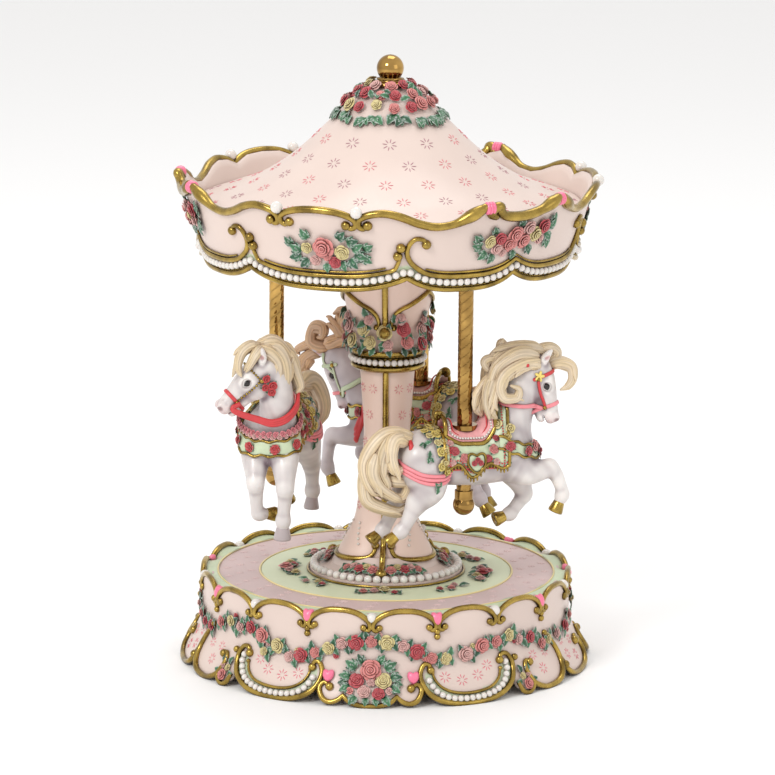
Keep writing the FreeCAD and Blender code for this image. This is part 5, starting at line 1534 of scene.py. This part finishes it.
def horse_flesh(horse):
    """The whole animal without hair, hooves or tack, and its head's own placing function."""
    flesh = Flesh((-45, -19, 60), (58, 24, 166), horse["cell"])
    flesh.limb([(-20, 0, 109.8, 13.0), (-8, 0, 107.4, 12.6), (8, 0, 106.6, 12.4), (18, 0, 108.5, 12.8)], 4)
    flesh.egg((-22, 5.5, 106), (11, 8.5, 12), ease=4)
    flesh.egg((-22, -5.5, 106), (11, 8.5, 12), ease=4)
    flesh.limb([(-26, 0, 113.5, 7.5), (-29, 0, 116, 4.4)], 3)
    flesh.limb([(6, 0, 114, 6.5), (14, 0, 118, 7.5)], 4)
    x, y, z, r = horse["chest"][0]
    flesh.egg((x, y, z), (r, r, r), ease=4)
    for x, y, z, r in horse["chest"][1:]:
        flesh.egg((x, y, z), (r, r * 0.8, r * 1.05), ease=4)
    flesh.limb(horse["neck"], 5)
    for leg in horse["legs"]:
        flesh.limb(leg[:3], 2.6)
        flesh.limb(leg[2:], 0.5)
        x, y, z, r = leg[2]
        flesh.egg((x, y, z), (r * 1.05, r * 1.02, r * 1.15), ease=1.4)
        x, y, z, r = leg[5]
        flesh.egg((x, y, z), (r * 1.04, r * 1.04, r * 1.06), ease=1.2)
    poll, axes, scale = head_frame(horse)

    def at(f, n, s):
        return poll + (np.array([f, n, s], float) * scale) @ axes

    def lump(f, n, s, radii, ease=2.0, cut=False):
        flesh.egg(at(f, n, s), np.array(radii) * scale, axes, ease, cut)

    def bar(stations, ease=2.0):
        flesh.limb([(*at(f, n, s), r * scale) for f, n, s, r in stations], ease)

    bar([(0, 0, 0, 6.6), (8, 0.6, 0, 6.2), (15, 0.4, 0, 4.9), (22, -0.4, 0, 4.0), (27, -1.2, 0, 3.9)], 2.5)
    for side in (1, -1):
        lump(8.2, -5.0, 2.3 * side, (7.6, 6.4, 3.9), 2.2)
        bar([(7.5, 4.2, 4.1 * side, 1.7), (13.6, 3.2, 4.0 * side, 1.3)], 1.4)
        lump(11.8, 1.3, 5.6 * side, (2.3, 1.6, 1.3), 0.7, True)
        bar([(12.0, -2.4, 3.6 * side, 1.6), (19.5, -1.6, 3.3 * side, 1.1)], 1.4)
        lump(28.2, 0.9, 2.3 * side, (2.3, 1.7, 1.5), 0.9)
        lump(29.8, 0.5, 3.2 * side, (1.2, 0.8, 0.9), 0.4, True)
        bar([(-0.6, 3.6, 4.2 * side, 2.3), (-3.4, 6.6, 5.4 * side, 1.9), (-5.8, 10.4, 6.4 * side, 0.6)],
            0.9)
        lump(-2.0, 6.6, 6.9 * side, (1.1, 2.9, 1.3), 0.5, True)
    bar([(9, -7.2, 0, 3.6), (18, -6.4, 0, 2.9), (25, -6.4, 0, 2.6)], 2.0)
    lump(27.0, -2.0, 0, (3.9, 3.7, 4.1), 1.8)
    lump(26.0, -6.8, 0, (2.7, 2.1, 2.7), 1.2)
    lump(28.8, -5.2, 0, (4.4, 0.45, 4.6), 0.5, True)
    return flesh, at, axes, scale


def hide_tint(points, horse, at, scale, flesh):
    """Soft dapples, painted shade in the creases, down the lower legs, in the nostrils and round the eye
    sockets, a rosy muzzle and pink insides to the ears.
    """
    x, y, z = points.T
    cloud = (np.sin(x * 0.42 + 1.3 * np.sin(z * 0.31)) * np.sin(z * 0.38 + 0.9 * np.sin(y * 0.5 + x * 0.2))
             + 0.4 * np.sin(x * 0.6 + y * 0.7) * np.sin(z * 0.4 + y + x * 0.5))
    shade = 0.95 + 0.06 * cloud
    # Painted shade: the hide is washed darker where the field round a point is hollow, as in creases and
    # folds.
    shade_probe = sum(flesh.sample(points + step) for step in np.vstack([np.eye(3), -np.eye(3)]) * 2.2)
    shade = shade - np.clip(0.55 - shade_probe / 2.6, 0, 1) * 0.42
    # Painted shade: darker towards the bottom of the legs.
    low = np.clip((94 - z) / 18, 0, 1)
    shade = shade - 0.16 * low * (0.6 + 0.4 * cloud)
    dapple_and_shade = np.clip((1 - shade) * 2.2, 0, 1)[:, None]
    tint = np.asarray(horse["hide"])[None, :] * (1 - dapple_and_shade) + paint(138, 122, 128)[None, :] * dapple_and_shade
    nose = np.linalg.norm(points - at(29, -2, 0), axis=1) / scale
    rosy = np.clip((6.0 - nose) / 5.0, 0, 0.55)[:, None]
    tint = tint * (1 - rosy) + paint(206, 168, 168)[None, :] * rosy
    for side in (1, -1):
        # Painted shade darkens the nostrils and the eye sockets; the insides of the ears are tinted pink.
        hole = np.linalg.norm(points - at(29.8, 0.5, 3.2 * side), axis=1) / scale
        dark = np.clip((1.7 - hole) / 0.8, 0, 0.8)[:, None]
        tint = tint * (1 - dark) + paint(120, 84, 84)[None, :] * dark
        socket = np.linalg.norm(points - at(11.8, 1.4, 5.0 * side), axis=1) / scale
        dark = np.clip((2.9 - socket) / 1.2, 0, 0.55)[:, None]
        tint = tint * (1 - dark) + paint(132, 104, 104)[None, :] * dark
        ear = np.linalg.norm(points - at(-2.6, 6.6, 5.8 * side), axis=1) / scale
        dark = np.clip((1.8 - ear) / 1.0, 0, 0.6)[:, None]
        tint = tint * (1 - dark) + paint(214, 150, 146)[None, :] * dark
    return np.clip(tint, 0, 1)


def hoof(clay, leg, tint):
    """A flared hoof with a flat sole at the end of a leg."""
    end, before = np.array(leg[-1][:3]), np.array(leg[-2][:3])
    ahead = unit(end - before)
    r = leg[-1][3]
    outline = [(0.05, -0.4), (0.72, -0.4), (0.98, 0.2), (1.16, 1.0), (1.32, 1.75), (1.28, 2.0),
               (1.05, 2.04), (0.05, 1.9)]
    turn = np.linspace(0, 2 * np.pi, 24, endpoint=False)
    m = pose(end, ahead, 0, r)
    rows = np.array([[(rad * math.cos(a) * 1.05, rad * math.sin(a) * 0.96, h) for a in turn] for rad,
                     h in outline])
    points = rows.reshape(-1, 3) @ m[:3, :3].T + m[:3, 3]
    clay.add(points, grid_faces(len(outline), 24, True, True), tint)


def saddlery(key, horse, flesh, parts):
    """Blanket, saddle, and their trims on a horse's back."""
    tack, gilt, pearls, flowers = parts
    seat_tint = SEAT_MAUVE if key == "2" else SEAT_PINK
    xs = np.linspace(-13, 18, 40)
    reach = 84 + 16 * np.cos((xs - 1) / 14 * math.pi * 2.0) * 0.5 + 8 * np.cos((xs - 1) / 14 * math.pi)
    us = np.linspace(-1, 1, 65)
    grid = np.zeros((len(xs), len(us), 3))
    for i, x in enumerate(xs):
        grid[i] = flesh.ring((x, 0, 107), (0, 0, 1), (0, 1, 0), us * reach[i] * 1.18, 26)
    away = unit(grid - np.stack([xs[:, None] + 0 * us, 0 * xs[:, None] + 0 * us,
                                 107 + 0 * xs[:, None] + 0 * us], -1))
    shade = 1 + 0.04 * np.cos(np.arange(len(us)) * 1.3)[None, :] + 0 * xs[:, None]
    p, f, s = sheet_shell(grid + away * 1.3, grid - away * 0.6, shade, shade)
    tack.add(p, f, np.clip(MINT[None, :] * s[:, None], 0, 1))
    top = grid + away * 1.35
    for edge in (top[0], top[-1], top[:, 0], top[:, -1]):
        sweep(gilt, smooth_path(edge, 120), 0.85, GOLD_TINT, 8)
    for edge in (top[3], top[-4]):
        beading(tack, edge + away[0] * 0.3, 0.42, 1.25, RED_PAINT)
    for column in (3, -4):
        beading(tack, top[:, column] + away[:, column] * 0.3, 0.42, 1.25, RED_PAINT)
        for i in range(0, len(xs), 2):
            start = top[i, 0 if column > 0 else -1]
            drop = start + np.array([0, 0, -2.0]) + away[i, 0 if column > 0 else -1] * 0.4
            sweep(gilt, np.linspace(start, drop, 4), [0.5, 0.45, 0.55, 0.35], GOLD_TINT, 6)

    def spot(x, angle, out=1.4):
        place = flesh.ring((x, 0, 107), (0, 0, 1), (0, 1, 0), [angle], 26, out)[0]
        return place, unit(place - np.array([x, 0, 107]))

    for side in (-1, 1):
        for x, angle, size, color in ((-8.5, 62, 2.4, DEEP_ROSE), (-3.5, 76, 2.2, SALMON),
                                      (11, 62, 2.4, SALMON),
                                      (8, 80, 2.0, DEEP_ROSE), (-9.5, 84, 1.8, PALE_ROSE),
                                      (12, 86, 1.7, PALE_ROSE),
                                      (-10.0, 46, 1.7, PALE_ROSE), (12.4, 44, 1.8, DEEP_ROSE)):
            place, out = spot(x, angle * side)
            flower(flowers, place, out, size, color)
            for turn in (0.4, 2.6, 4.4):
                leaf(flowers, place - out * 0.5, out, turn + dice.uniform(-.5, .5), size * 1.5)
        place, out = spot(2.2, 84 * side, 1.7)
        tack.place(HEART, pose(place, out, 0, (4.6, 4.4, 2.2)), MINT * 0.97)
        rim = []
        for a in np.linspace(0, 2 * math.pi, 40, endpoint=False):
            wide = 0.86 - 0.30 * math.exp(-((a if a < math.pi else a - 2 * math.pi) / 0.42) ** 2)
            wide += 0.26 * math.exp(-((abs(a - math.pi)) / 0.5) ** 2)
            wide += 0.18 * math.exp(-((min(a, 2 * math.pi - a) - 0.75) / 0.45) ** 2)
            rim.append((math.sin(a) * wide, math.cos(a) * wide, 0.12))
        m = pose(place, out, 0, (5.0, 4.8, 3.0))
        sweep(gilt, np.array(rim) @ m[:3, :3].T + m[:3, 3], 0.6, GOLD_TINT, 8, closed=True)
        for dx, dz in ((0, 1.0), (-1.6, -0.6), (1.6, -0.6)):
            flower(flowers, place + out * 1.6 + np.array([dx, 0, dz]), out, 1.5, DEEP_ROSE, BUDS)
        for angle, tint, width in ((93, YELLOW, 1.0), (99, RED_PAINT, 0.9)):
            path = [spot(x, angle * side, 1.0)[0] for x in np.linspace(-10, 13, 12)]
            sweep(gilt if tint is YELLOW else tack, smooth_path(path, 60), width * 0.6, GOLD_TINT
                  if tint is YELLOW
                  else tint, 8)

    seat_x = np.linspace(-11.5, 12.5, 32)
    seat_u = np.linspace(-1, 1, 41)
    lift = 2.6 + 5.4 * np.clip((-seat_x - 4) / 7.5, 0, 1) ** 2.0 + 6.6 * np.clip((seat_x - 6) / 6.5, 0,
        1) ** 2.0
    wide = 47 - 17 * np.clip((-seat_x - 4) / 7.5, 0, 1) ** 1.6 - 19 * np.clip((seat_x - 6) / 6.5, 0,
        1) ** 1.6
    grid = np.zeros((len(seat_x), len(seat_u), 3))
    for i, x in enumerate(seat_x):
        base = flesh.ring((x, 0, 107), (0, 0, 1), (0, 1, 0), seat_u * wide[i], 26)
        out = unit(base - np.array([x, 0, 107]))
        grid[i] = base + out * (1.4 + (lift[i] - 1.4) * (1 - np.abs(seat_u) ** 3))[:, None]
    centre = np.stack([seat_x[:, None] + 0 * seat_u, 0 * seat_x[:, None] + 0 * seat_u,
                       107 + 0 * seat_x[:, None] + 0 * seat_u], -1)
    away = unit(grid - centre)
    # The seat's colour varies in a faint checked pattern, and its underside is darkened with painted shade
    # (0.9).
    shade = 0.98 + 0.05 * np.sin(seat_x[:, None] * 2.2) * np.sin(seat_u[None, :] * 9)
    p, f, s = sheet_shell(grid, grid - away * 2.2, shade, shade * 0.9)
    tack.add(p, f, np.clip(seat_tint[None, :] * s[:, None], 0, 1))
    rim = np.concatenate([grid[0], grid[1:, -1], grid[-1, -2::-1], grid[-2:0:-1, 0]]) + 0.0
    rim = smooth_path(rim, 200, True)
    sweep(gilt, rim, 1.15, GOLD_TINT, 10, closed=True)
    inner = np.concatenate([grid[3, 4:-4], grid[4:-3, -5], grid[-4, -5:3:-1], grid[-4:3:-1, 4]])
    inner = smooth_path(inner, 160, True)
    lifted = inner + unit(inner - np.array([0, 0, 107.0])) * 0.6
    beading(pearls, np.vstack([lifted, lifted[:1]]), 0.62, 1.35, PALE_PINK)
    shrunk = inner * (0.86, 0.8, 1.0) + (0.07, 0, 0.9)
    sweep(tack, shrunk, 0.4, RED_PAINT, 6, closed=True)
    for end, sign in ((-1, 1), (0, -1)):
        middle = grid[end, len(seat_u) // 2]
        curl = [middle + np.array([sign * x, 0, z]) for x,
                z in ((-0.5, -0.5), (1.2, 0.8), (2.6, 0.4), (2.9, -1.0),
                                                                 (1.9, -1.8), (1.1, -1.1))]
        sweep(gilt, smooth_path(curl, 30), np.linspace(1.7, 1.0, 30), GOLD_TINT, 10)


for key, horse in HORSES.items():
    flesh, at, axes, scale = horse_flesh(horse)
    animal, hair, hooves, eyes = Clay(), Clay(), Clay(), Clay()
    tack, gilt, pearls, flowers = Clay(), Clay(), Clay(), Clay()
    points, quads = flesh.skin()
    animal.add(points, quads, hide_tint(points, horse, at, scale, flesh))
    for path, thick, thin in MANES[key] + TAILS[key]:
        tint = np.asarray(horse["hair"]) * dice.uniform(0.9, 1.08)
        lock(hair, path, thick * 0.84, thin * 0.8, tint, dice.uniform(0, 6))
        side = 1 if key == "2" else -1
        for reach in (0.55, 0.8):
            off = np.array([dice.uniform(-.6, .6), side * dice.uniform(.2, .5),
                            dice.uniform(-.6, .6)]) * thick
            count = max(3, int(len(path) * reach))
            wander = [np.array(p) + off * (0.3 + 0.7 * i / count) for i, p in enumerate(path[:count])]
            tip = wander[-1] + (wander[-1] - wander[-2]) * 0.4 + np.array([0, side * 0.6, -1.0])
            lock(hair, wander + [tip], thick * 0.5, thin * 0.55, tint * dice.uniform(0.9, 1.1),
                 dice.uniform(0, 6))
    for k, leg in enumerate(horse["legs"]):
        pale = key == "1" and k in (1, 2)
        hoof(animal if pale else hooves, leg, paint(176, 164, 164) if pale else GOLD_TINT)
    for side in (1, -1):
        ball(eyes, at(11.7, 1.3, 4.15 * side), 1.95 * scale, paint(26, 18, 16))
        lid = [at(9.0, 1.6, 5.0 * side), at(10.2, 3.0, 5.25 * side), at(12.0, 3.2, 5.2 * side),
               at(13.8, 1.6, 4.9 * side)]
        sweep(animal, smooth_path(lid, 20), 0.5 * scale, np.asarray(horse["hide"]) * 0.7, 8)
        lid = [at(9.2, 1.0, 5.1 * side), at(11.6, -0.5, 5.5 * side), at(13.8, 1.2, 4.9 * side)]
        sweep(animal, smooth_path(lid, 20), 0.32 * scale, np.asarray(horse["hide"]) * 0.72, 8)
    saddlery(key, horse, flesh, (tack, gilt, pearls, flowers))

    # bridle
    band = {"1": RED_PAINT, "2": ROSE_PAINT, "3": ROSE_PAINT}[key]
    cheek = {"1": None, "2": MINT * 0.9, "3": RED_PAINT}[key]
    turn = np.linspace(0, 360, 49)[:-1]
    nose = flesh.ring(at(21.5, -2.6, 0), axes[1], axes[2], turn, 9 * scale, 0.3)
    sweep(tack, nose, 0.95, band, 10, closed=True, flat=0.45, up=unit(nose - at(21.5, -2.6, 0)))
    brow = flesh.ring(at(5.6, -1.0, 0), axes[1], axes[2], np.linspace(-104, 104, 60), 13 * scale, 0.3)
    if cheek is None:
        beading(gilt, brow, 0.62, 1.4, GOLD_TINT)
    else:
        sweep(tack, brow, 0.9, cheek, 10, flat=0.5, up=unit(brow - at(5.6, -1.0, 0)))
    for side in (1, -1):
        line = [at(4.0, -2.0, 6.4 * side), at(9, -2.4, 6.8 * side), at(15, -2.8, 5.6 * side),
                at(21.5, -3.2, 4.4 * side)]
        if cheek is None:
            beading(gilt, flesh.onto(smooth_path(line, 50), 0.4), 0.62, 1.4, GOLD_TINT)
        else:
            strap(tack, flesh, line, 1.5, cheek, 0.5, out=0.3)
        ball(gilt, flesh.onto([at(21.6, -3.4, 4.6 * side)], 0.5)[0], 1.15 * scale, GOLD_TINT)
        ball(gilt, flesh.onto([at(5.4, -2.4, 6.6 * side)], 0.5)[0], 1.25 * scale, GOLD_TINT)

    neck = np.array(horse["neck"], float)

    def collar(t, tilt, angles, out=0.3, reach=20):
        """Points round the neck at a share t of its length, tipped by tilt."""
        step = t * (len(neck) - 1)
        i = min(int(step), len(neck) - 2)
        centre = neck[i, :3] + (neck[i + 1, :3] - neck[i, :3]) * (step - i)
        along = unit(neck[i + 1, :3] - neck[i, :3])
        front = unit(np.array([1.0, 0, tilt]) - along * (np.array([1.0, 0, tilt]) @ along))
        side = np.cross(along, front)
        hoop = flesh.ring(centre, front, side, angles, reach, out)
        return hoop, unit(hoop - centre)

    if key == "3":
        for shift in (0.0, 1.6):
            rein = [at(21.5, -4.4 - shift * .4, -4.4), at(17, -9.5 - shift, -5.5),
                    at(15, -15 - shift, -7.0),
                    at(12.5, -20 - shift, -8.6), at(8, -25 - shift, -9.4), at(1, -28 - shift, -8.0)]
            strap(tack, flesh, rein, 1.5, ROSE_PAINT, 0.6, out=0.5)
            rein = [(p * (1, -1, 1) + (0, -3.0, 0)) for p in np.array(rein)]
            strap(tack, flesh, rein, 1.5, ROSE_PAINT, 0.6, out=0.5)
        star = flesh.onto([at(4.6, -1.0, -7.0)], 0.8)[0]
        out = flesh.gradient([star])[0]
        for k in range(5):
            m = pose(star, out, k * 1.257)
            flowers.place(SMALL_BALL, pose(star + m[:3, 0] * 1.3, out, k * 1.257, (1.5, .8, .5)), YELLOW)
        for x, z in ((28, 152), (25, 155), (22.5, 156.8)):
            ball(flowers, flesh.onto([(x, -9.5, z)], 3.5)[0], 1.0, RED_PAINT, SMALL_BALL)
        for x, y, z, size, color in ((34.2, -3, 112, 2.4, PALE_ROSE), (35.4, 1, 110, 2.2, SALMON),
                                     (33.6, -5.6, 108.6, 2.2, DEEP_ROSE),
                                     (35.2, -1.6, 107, 2.0, PALE_ROSE), (33.0, 5, 110, 2.3, SALMON),
                                     (31.0, -8.6, 113.6, 3.0, SALMON)):
            place = flesh.onto([(x, y, z)], 0.9)[0]
            out = flesh.gradient([place])[0]
            flower(flowers, place, out, size, color)
            for t in (0.5, 2.7, 4.6):
                leaf(flowers, place - out * 0.4, out, t, size * 1.4)
    if key == "1":
        for shift in (-1.5, 0.0, 1.5):
            rein = [at(21.5, -4.0, 4.6), (46.5, -8.0, 126.3), (44, -3.8, 123.4), (40, 2.6, 120.6),
                    (37, 9.0, 118.6),
                    (33, 14.9, 120.4), (27, 18.0, 125.4), (21, 17.0, 132.0)]
            rein = np.array(rein) + np.linspace(0.2, 1.0, 8)[:, None] * np.array([[0, 0, shift]])
            sweep(tack, smooth_path(rein, 90), 1.0, RED_PAINT, 8)
        for f, n, s, size in ((3.2, -3.0, 7.2, 2.2), (6.4, -6.0, 6.6, 2.0), (3.0, -8.2, 6.6, 2.4),
                              (5.4, -10.6, 6.0, 2.1)):
            for side in (1, -1):
                place = flesh.onto([at(f, n, s * side)], 0.8)[0]
                out = flesh.gradient([place])[0]
                flower(flowers, place, out, size, RED_PAINT * 1.1, BUDS)
                for t in (0.9, 3.2, 5.0):
                    leaf(flowers, place - out * 0.3, out, t, 3.0)
    if key == "2":
        for shift in (-2.4, 0.0, 2.4):
            hoop, out = collar(0.14, 0.2, np.linspace(-180, 176, 90), 0.5)
            sweep(tack, hoop + np.array([0, 0, shift]), 1.35, RED_PAINT, 8, closed=True, up=out)
        for side in (1, -1):
            rein = [at(21.5, -3.8, 4.4 * side), at(20, -8, 5.2 * side), at(18, -13, 7 * side),
                    at(16, -18, 9 * side)]
            strap(tack, flesh, rein, 2.6, MINT * 0.92, 0.6, out=0.5)
            line = [at(-1, 3.5, 5.8 * side), at(4, 3.6, 5.4 * side), at(9, -1.4, 6.4 * side)]
            strap(tack, flesh, line, 1.7, MINT * 0.9, 0.5, out=0.3)

    # breast collar, its roses, and the rump's ribbons and garlands
    cy = horse["chest"][0][1]
    cz = horse["chest"][0][2]
    angles = np.linspace(-112, 112, 90)
    z, half_width = (cz - 3.0, 3.6) if key == "1" else (cz + 1.0, 3.0)
    rows = [flesh.ring((19, cy * 0.6, z + dz), (1, 0, 0), (0, 1, 0), angles, 17.5, 0.9)
            for dz in np.linspace(-half_width, half_width, 7)]
    rows = [row + np.array([0, 0, 1])[None, :] * (np.abs(angles / 112) ** 2 * 7.0)[:, None] for row in rows]
    band_grid = np.stack(rows)
    inner = band_grid - unit(band_grid - np.array([19, cy * 0.6, z])) * 1.6
    one = np.ones(band_grid.shape[:2])
    p, f, s = sheet_shell(band_grid, inner, one, one)
    tack.add(p, f[:, ::-1], MINT)
    for row in (band_grid[0], band_grid[-1]):
        ripple = row + np.array([0, 0, 1])[None, :] * (0.5 * np.cos(np.radians(angles) * 14))[:, None]
        sweep(gilt, ripple, 0.7, GOLD_TINT, 8)
    middle = band_grid[3]
    for k in (8, 22, 36, 53, 67, 81):
        out = unit(middle[k] - np.array([19, cy * 0.6, z]))
        flower(flowers, middle[k] + out * 0.5, out, 2.5, RED_PAINT * 1.1 if key == "1" else DEEP_ROSE)
        for t in (0.6, 2.5, 3.8, 5.7):
            leaf(flowers, middle[k] + out * 0.2, out, t, 3.2)
    if key == "1":
        for k in range(0, 90, 2):
            place = band_grid[-1][k] + np.array([0, 0, 2.2 + 0.5 * (k % 4)])
            out = unit(place - np.array([19, cy * 0.6, z + 2]))
            flower(flowers, place, out, 1.7, ROSE_PAINT if k % 4 else PALE_ROSE, BUDS)

    for side in (-1, 1):
        if key != "2":
            for shift in (-1.7, 0, 1.7):
                path = [(-10, 13 * side, 101.5 + shift), (-16, 14.5 * side, 100.5 + shift),
                        (-23, 14.5 * side, 101.5 + shift),
                        (-30, 11 * side, 104.5 + shift), (-34, 5 * side, 107 + shift)]
                strap(tack, flesh, path, 1.9, ROSE_PAINT, 0.8, out=0.4)
        for x, y, z in ((-16.5, 9.5, 116.5), (-17.5, 1, 122.5), (-21, 4.5, 122), (-16.5, 6.5, 119.6),
                        (-13, 11.5, 113.6), (-16.4, 12.6, 106.5), (16.5, 6, 124), (-15, 5, 120),
                        (-13.5, 9, 117), (-15.5, 11.5, 113), (-14, 13, 108.5), (-18, 3.5, 122),
                        (-19.5, 7.5, 119.5), (-14.5, 1.5, 121), (-12.5, 13.4, 104.5), (18, 10.4, 119),
                        (19.6, 9.4, 123),
                        (17, 12, 114.6)):
            place = flesh.onto([(x, y * side, z)], 0.8)[0]
            out = flesh.gradient([place])[0]
            flower(flowers, place, out, dice.uniform(2.0, 2.7), YELLOW if dice.random() < 0.5 else CREAM,
                   BUDS)
            for t in (dice.uniform(0, 2), dice.uniform(3, 5)):
                leaf(flowers, place - out * 0.3, out, t, 3.4)
        for x, y, z in ((-22, 9, 116), (-21, 12, 111), (17, 11, 109), (-18, 13.5, 97.5)):
            place = flesh.onto([(x, y * side, z)], 0.3)[0]
            out = flesh.gradient([place])[0]
            for t in (0.2, 1.3, 3.6):
                leaf(flowers, place, out, t + x, 3.4)
    knot = np.array([-28.5, 0, 115.5])
    for k in range(4):
        a = k * 1.57 + 0.6
        loop_path = [knot + np.array([-1.0 + 0.6 * math.cos(t),
                                      3.0 * math.sin(t) * math.cos(a) + 2.2 * math.cos(a),
                                      3.0 * math.sin(a) + 2.6 * math.sin(a) * math.sin(t)])
                     for t in np.linspace(0, 2 * math.pi, 14, endpoint=False)]
        sweep(tack, smooth_path(loop_path, 40, True), 1.1, RED_PAINT, 8, closed=True, flat=0.5)
    ball(tack, knot + (-2.0, 0, 0.4), 2.0, RED_PAINT)
    sweep(tack, flesh.ring((-28.4, 0, 115.2), (0, 0, 1), (0, 1, 0), turn, 8, 0.3), 1.2, RED_PAINT, 8,
          closed=True)

    heading = math.radians(horse["heading"])
    stand = np.array([[math.cos(heading), -math.sin(heading), 0], [math.sin(heading), math.cos(heading), 0],
                      [0, 0, 1]])
    pole_low, pole_high = node_box("pole_" + key)
    pole_centre = (pole_low + pole_high) / 2
    shift = np.array([pole_centre[0], pole_centre[1], pole_low[2] - POLE_FOOT])
    for clay in (animal, hair, hooves, eyes, tack, gilt, pearls, flowers):
        clay.points = [p @ stand.T + shift for p in clay.points]
    body = "rider_" + key
    animal.build("animal_" + key, HIDE, body, "horse_resin", ["horse_" + key])
    hair.build("mane_tail_" + key, HAIR, body, "horse_resin")
    hooves.build("hooves_" + key, GOLD, body, "gold_paint")
    eyes.build("eyes_" + key, EYES, body, "horse_resin")
    tack.build("tack_" + key, TACK, body, "saddle_paint", ["saddle_" + key])
    gilt.build("tack_gilding_" + key, GOLD, body, "gold_paint")
    pearls.build("tack_pearls_" + key, PEARL, body, "pearl")
    flowers.build("tack_flowers_" + key, FLORAL, body, "rose_paint")


STEEL = material("steel", paint(196, 196, 200), rough=0.3, metal=1.0, mottle=(0.1, 0.5),
                 dark=paint(150, 150, 156))
MOVEMENT = material("movement_brass", paint(206, 170, 98), rough=0.35, metal=1.0, mottle=(0.1, 0.6),
                    dark=paint(160, 124, 62))
BOARD = material("board", paint(214, 206, 190), rough=0.8, mottle=(0.2, 0.5), dark=paint(186, 176, 160),
                 bump=0.1)
PLAIN_PINK = material("plain_pink_resin", PALE_PINK, rough=0.42, coat=0.12, mottle=(0.03, 0.35),
                      dark=PALE_PINK * 0.85, crevice_shade_and_wash=0.4, bump=0.02)
PLAIN_DECK = material("plain_deck_paint", DECK_PINK, rough=0.5, coat=0.05, mottle=(0.04, 0.6),
                      dark=DECK_PINK * 0.78, crevice_shade_and_wash=0.4, bump=0.06)
INLAY = material("green_inlay", paint(214, 222, 190), rough=0.48, coat=0.05, mottle=(0.05, 0.5),
                 dark=paint(196, 206, 170), crevice_shade_and_wash=0.4, bump=0.04)
CARRIED = {"deck_plate": PLAIN_DECK, "deck_inlay": INLAY, "bottom_plate": BOARD,
           "ceiling_plate": PLAIN_PINK,
           "column_foot": PLAIN_PINK, "column_shaft": PLAIN_PINK, "canopy_shell": PLAIN_PINK,
           "roof_shell": PLAIN_PINK}
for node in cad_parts:
    if node.startswith(("pole", "finial")):
        CARRIED[node] = BRASS
    elif "pearl" in node:
        CARRIED[node] = PEARL
    elif "heart" in node:
        CARRIED[node] = BEADS
    elif "trim" in node:
        CARRIED[node] = GOLD
    elif "screw" in node or node in ("music_comb", "winding_key", "drive_shaft",
                                     "lift_cam") or "follower" in node:
        CARRIED[node] = STEEL
    elif node.startswith(("horse", "saddle")):
        CARRIED[node] = PLAIN_PINK


# ------------------------------------------------------------ carried-over parts
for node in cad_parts:
    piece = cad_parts[node]
    if piece.data.materials:
        piece.data.materials.clear()
    piece.data.materials.append(CARRIED.get(node, MOVEMENT))

# ------------------------------------------------------------ floor, light, camera
mesh = bpy.data.meshes.new("floor")
mesh.from_pydata([(-6, -6, 0), (6, -6, 0), (6, 6, 0), (-6, 6, 0)], [], [(0, 1, 2, 3)])
floor = bpy.data.objects.new("floor", mesh)
bpy.context.scene.collection.objects.link(floor)
cloth = bpy.data.materials.new("floor")
cloth.use_nodes = True
cloth.node_tree.nodes["Principled BSDF"].inputs["Base Color"].default_value = (0.93, 0.93, 0.93, 1)
cloth.node_tree.nodes["Principled BSDF"].inputs["Roughness"].default_value = 0.9
mesh.materials.append(cloth)

world = bpy.data.worlds.new("studio")
world.use_nodes = True
world.node_tree.nodes["Background"].inputs["Color"].default_value = (1.0, 0.99, 0.98, 1)
world.node_tree.nodes["Background"].inputs["Strength"].default_value = 0.9
bpy.context.scene.world = world
bpy.context.scene.view_settings.view_transform = "Standard"


def lamp(name, place, size, power):
    light = bpy.data.lights.new(name, "AREA")
    light.size = size
    light.energy = power
    piece = bpy.data.objects.new(name, light)
    piece.location = place
    piece.rotation_euler = (Vector((0, 0, 0.15)) - Vector(place)).to_track_quat("-Z", "Y").to_euler()
    bpy.context.scene.collection.objects.link(piece)


lamp("key", (-0.9, -1.3, 1.3), 0.5, 14.0)
lamp("fill", (1.3, -1.1, 0.7), 0.9, 2.0)
lamp("top", (0.1, 0.5, 1.5), 0.8, 6.0)

lens = bpy.data.cameras.new("camera")
lens.sensor_width = 36.0
lens.lens = 221.2
camera = bpy.data.objects.new("camera", lens)
camera.location = (0.0, -2.247, 0.613)
camera.rotation_euler = (math.radians(90 - 12.07), 0.0, 0.0)
camera.rotation_euler.rotate_axis("Z", math.radians(0.5))
bpy.context.scene.collection.objects.link(camera)
bpy.context.scene.camera = camera
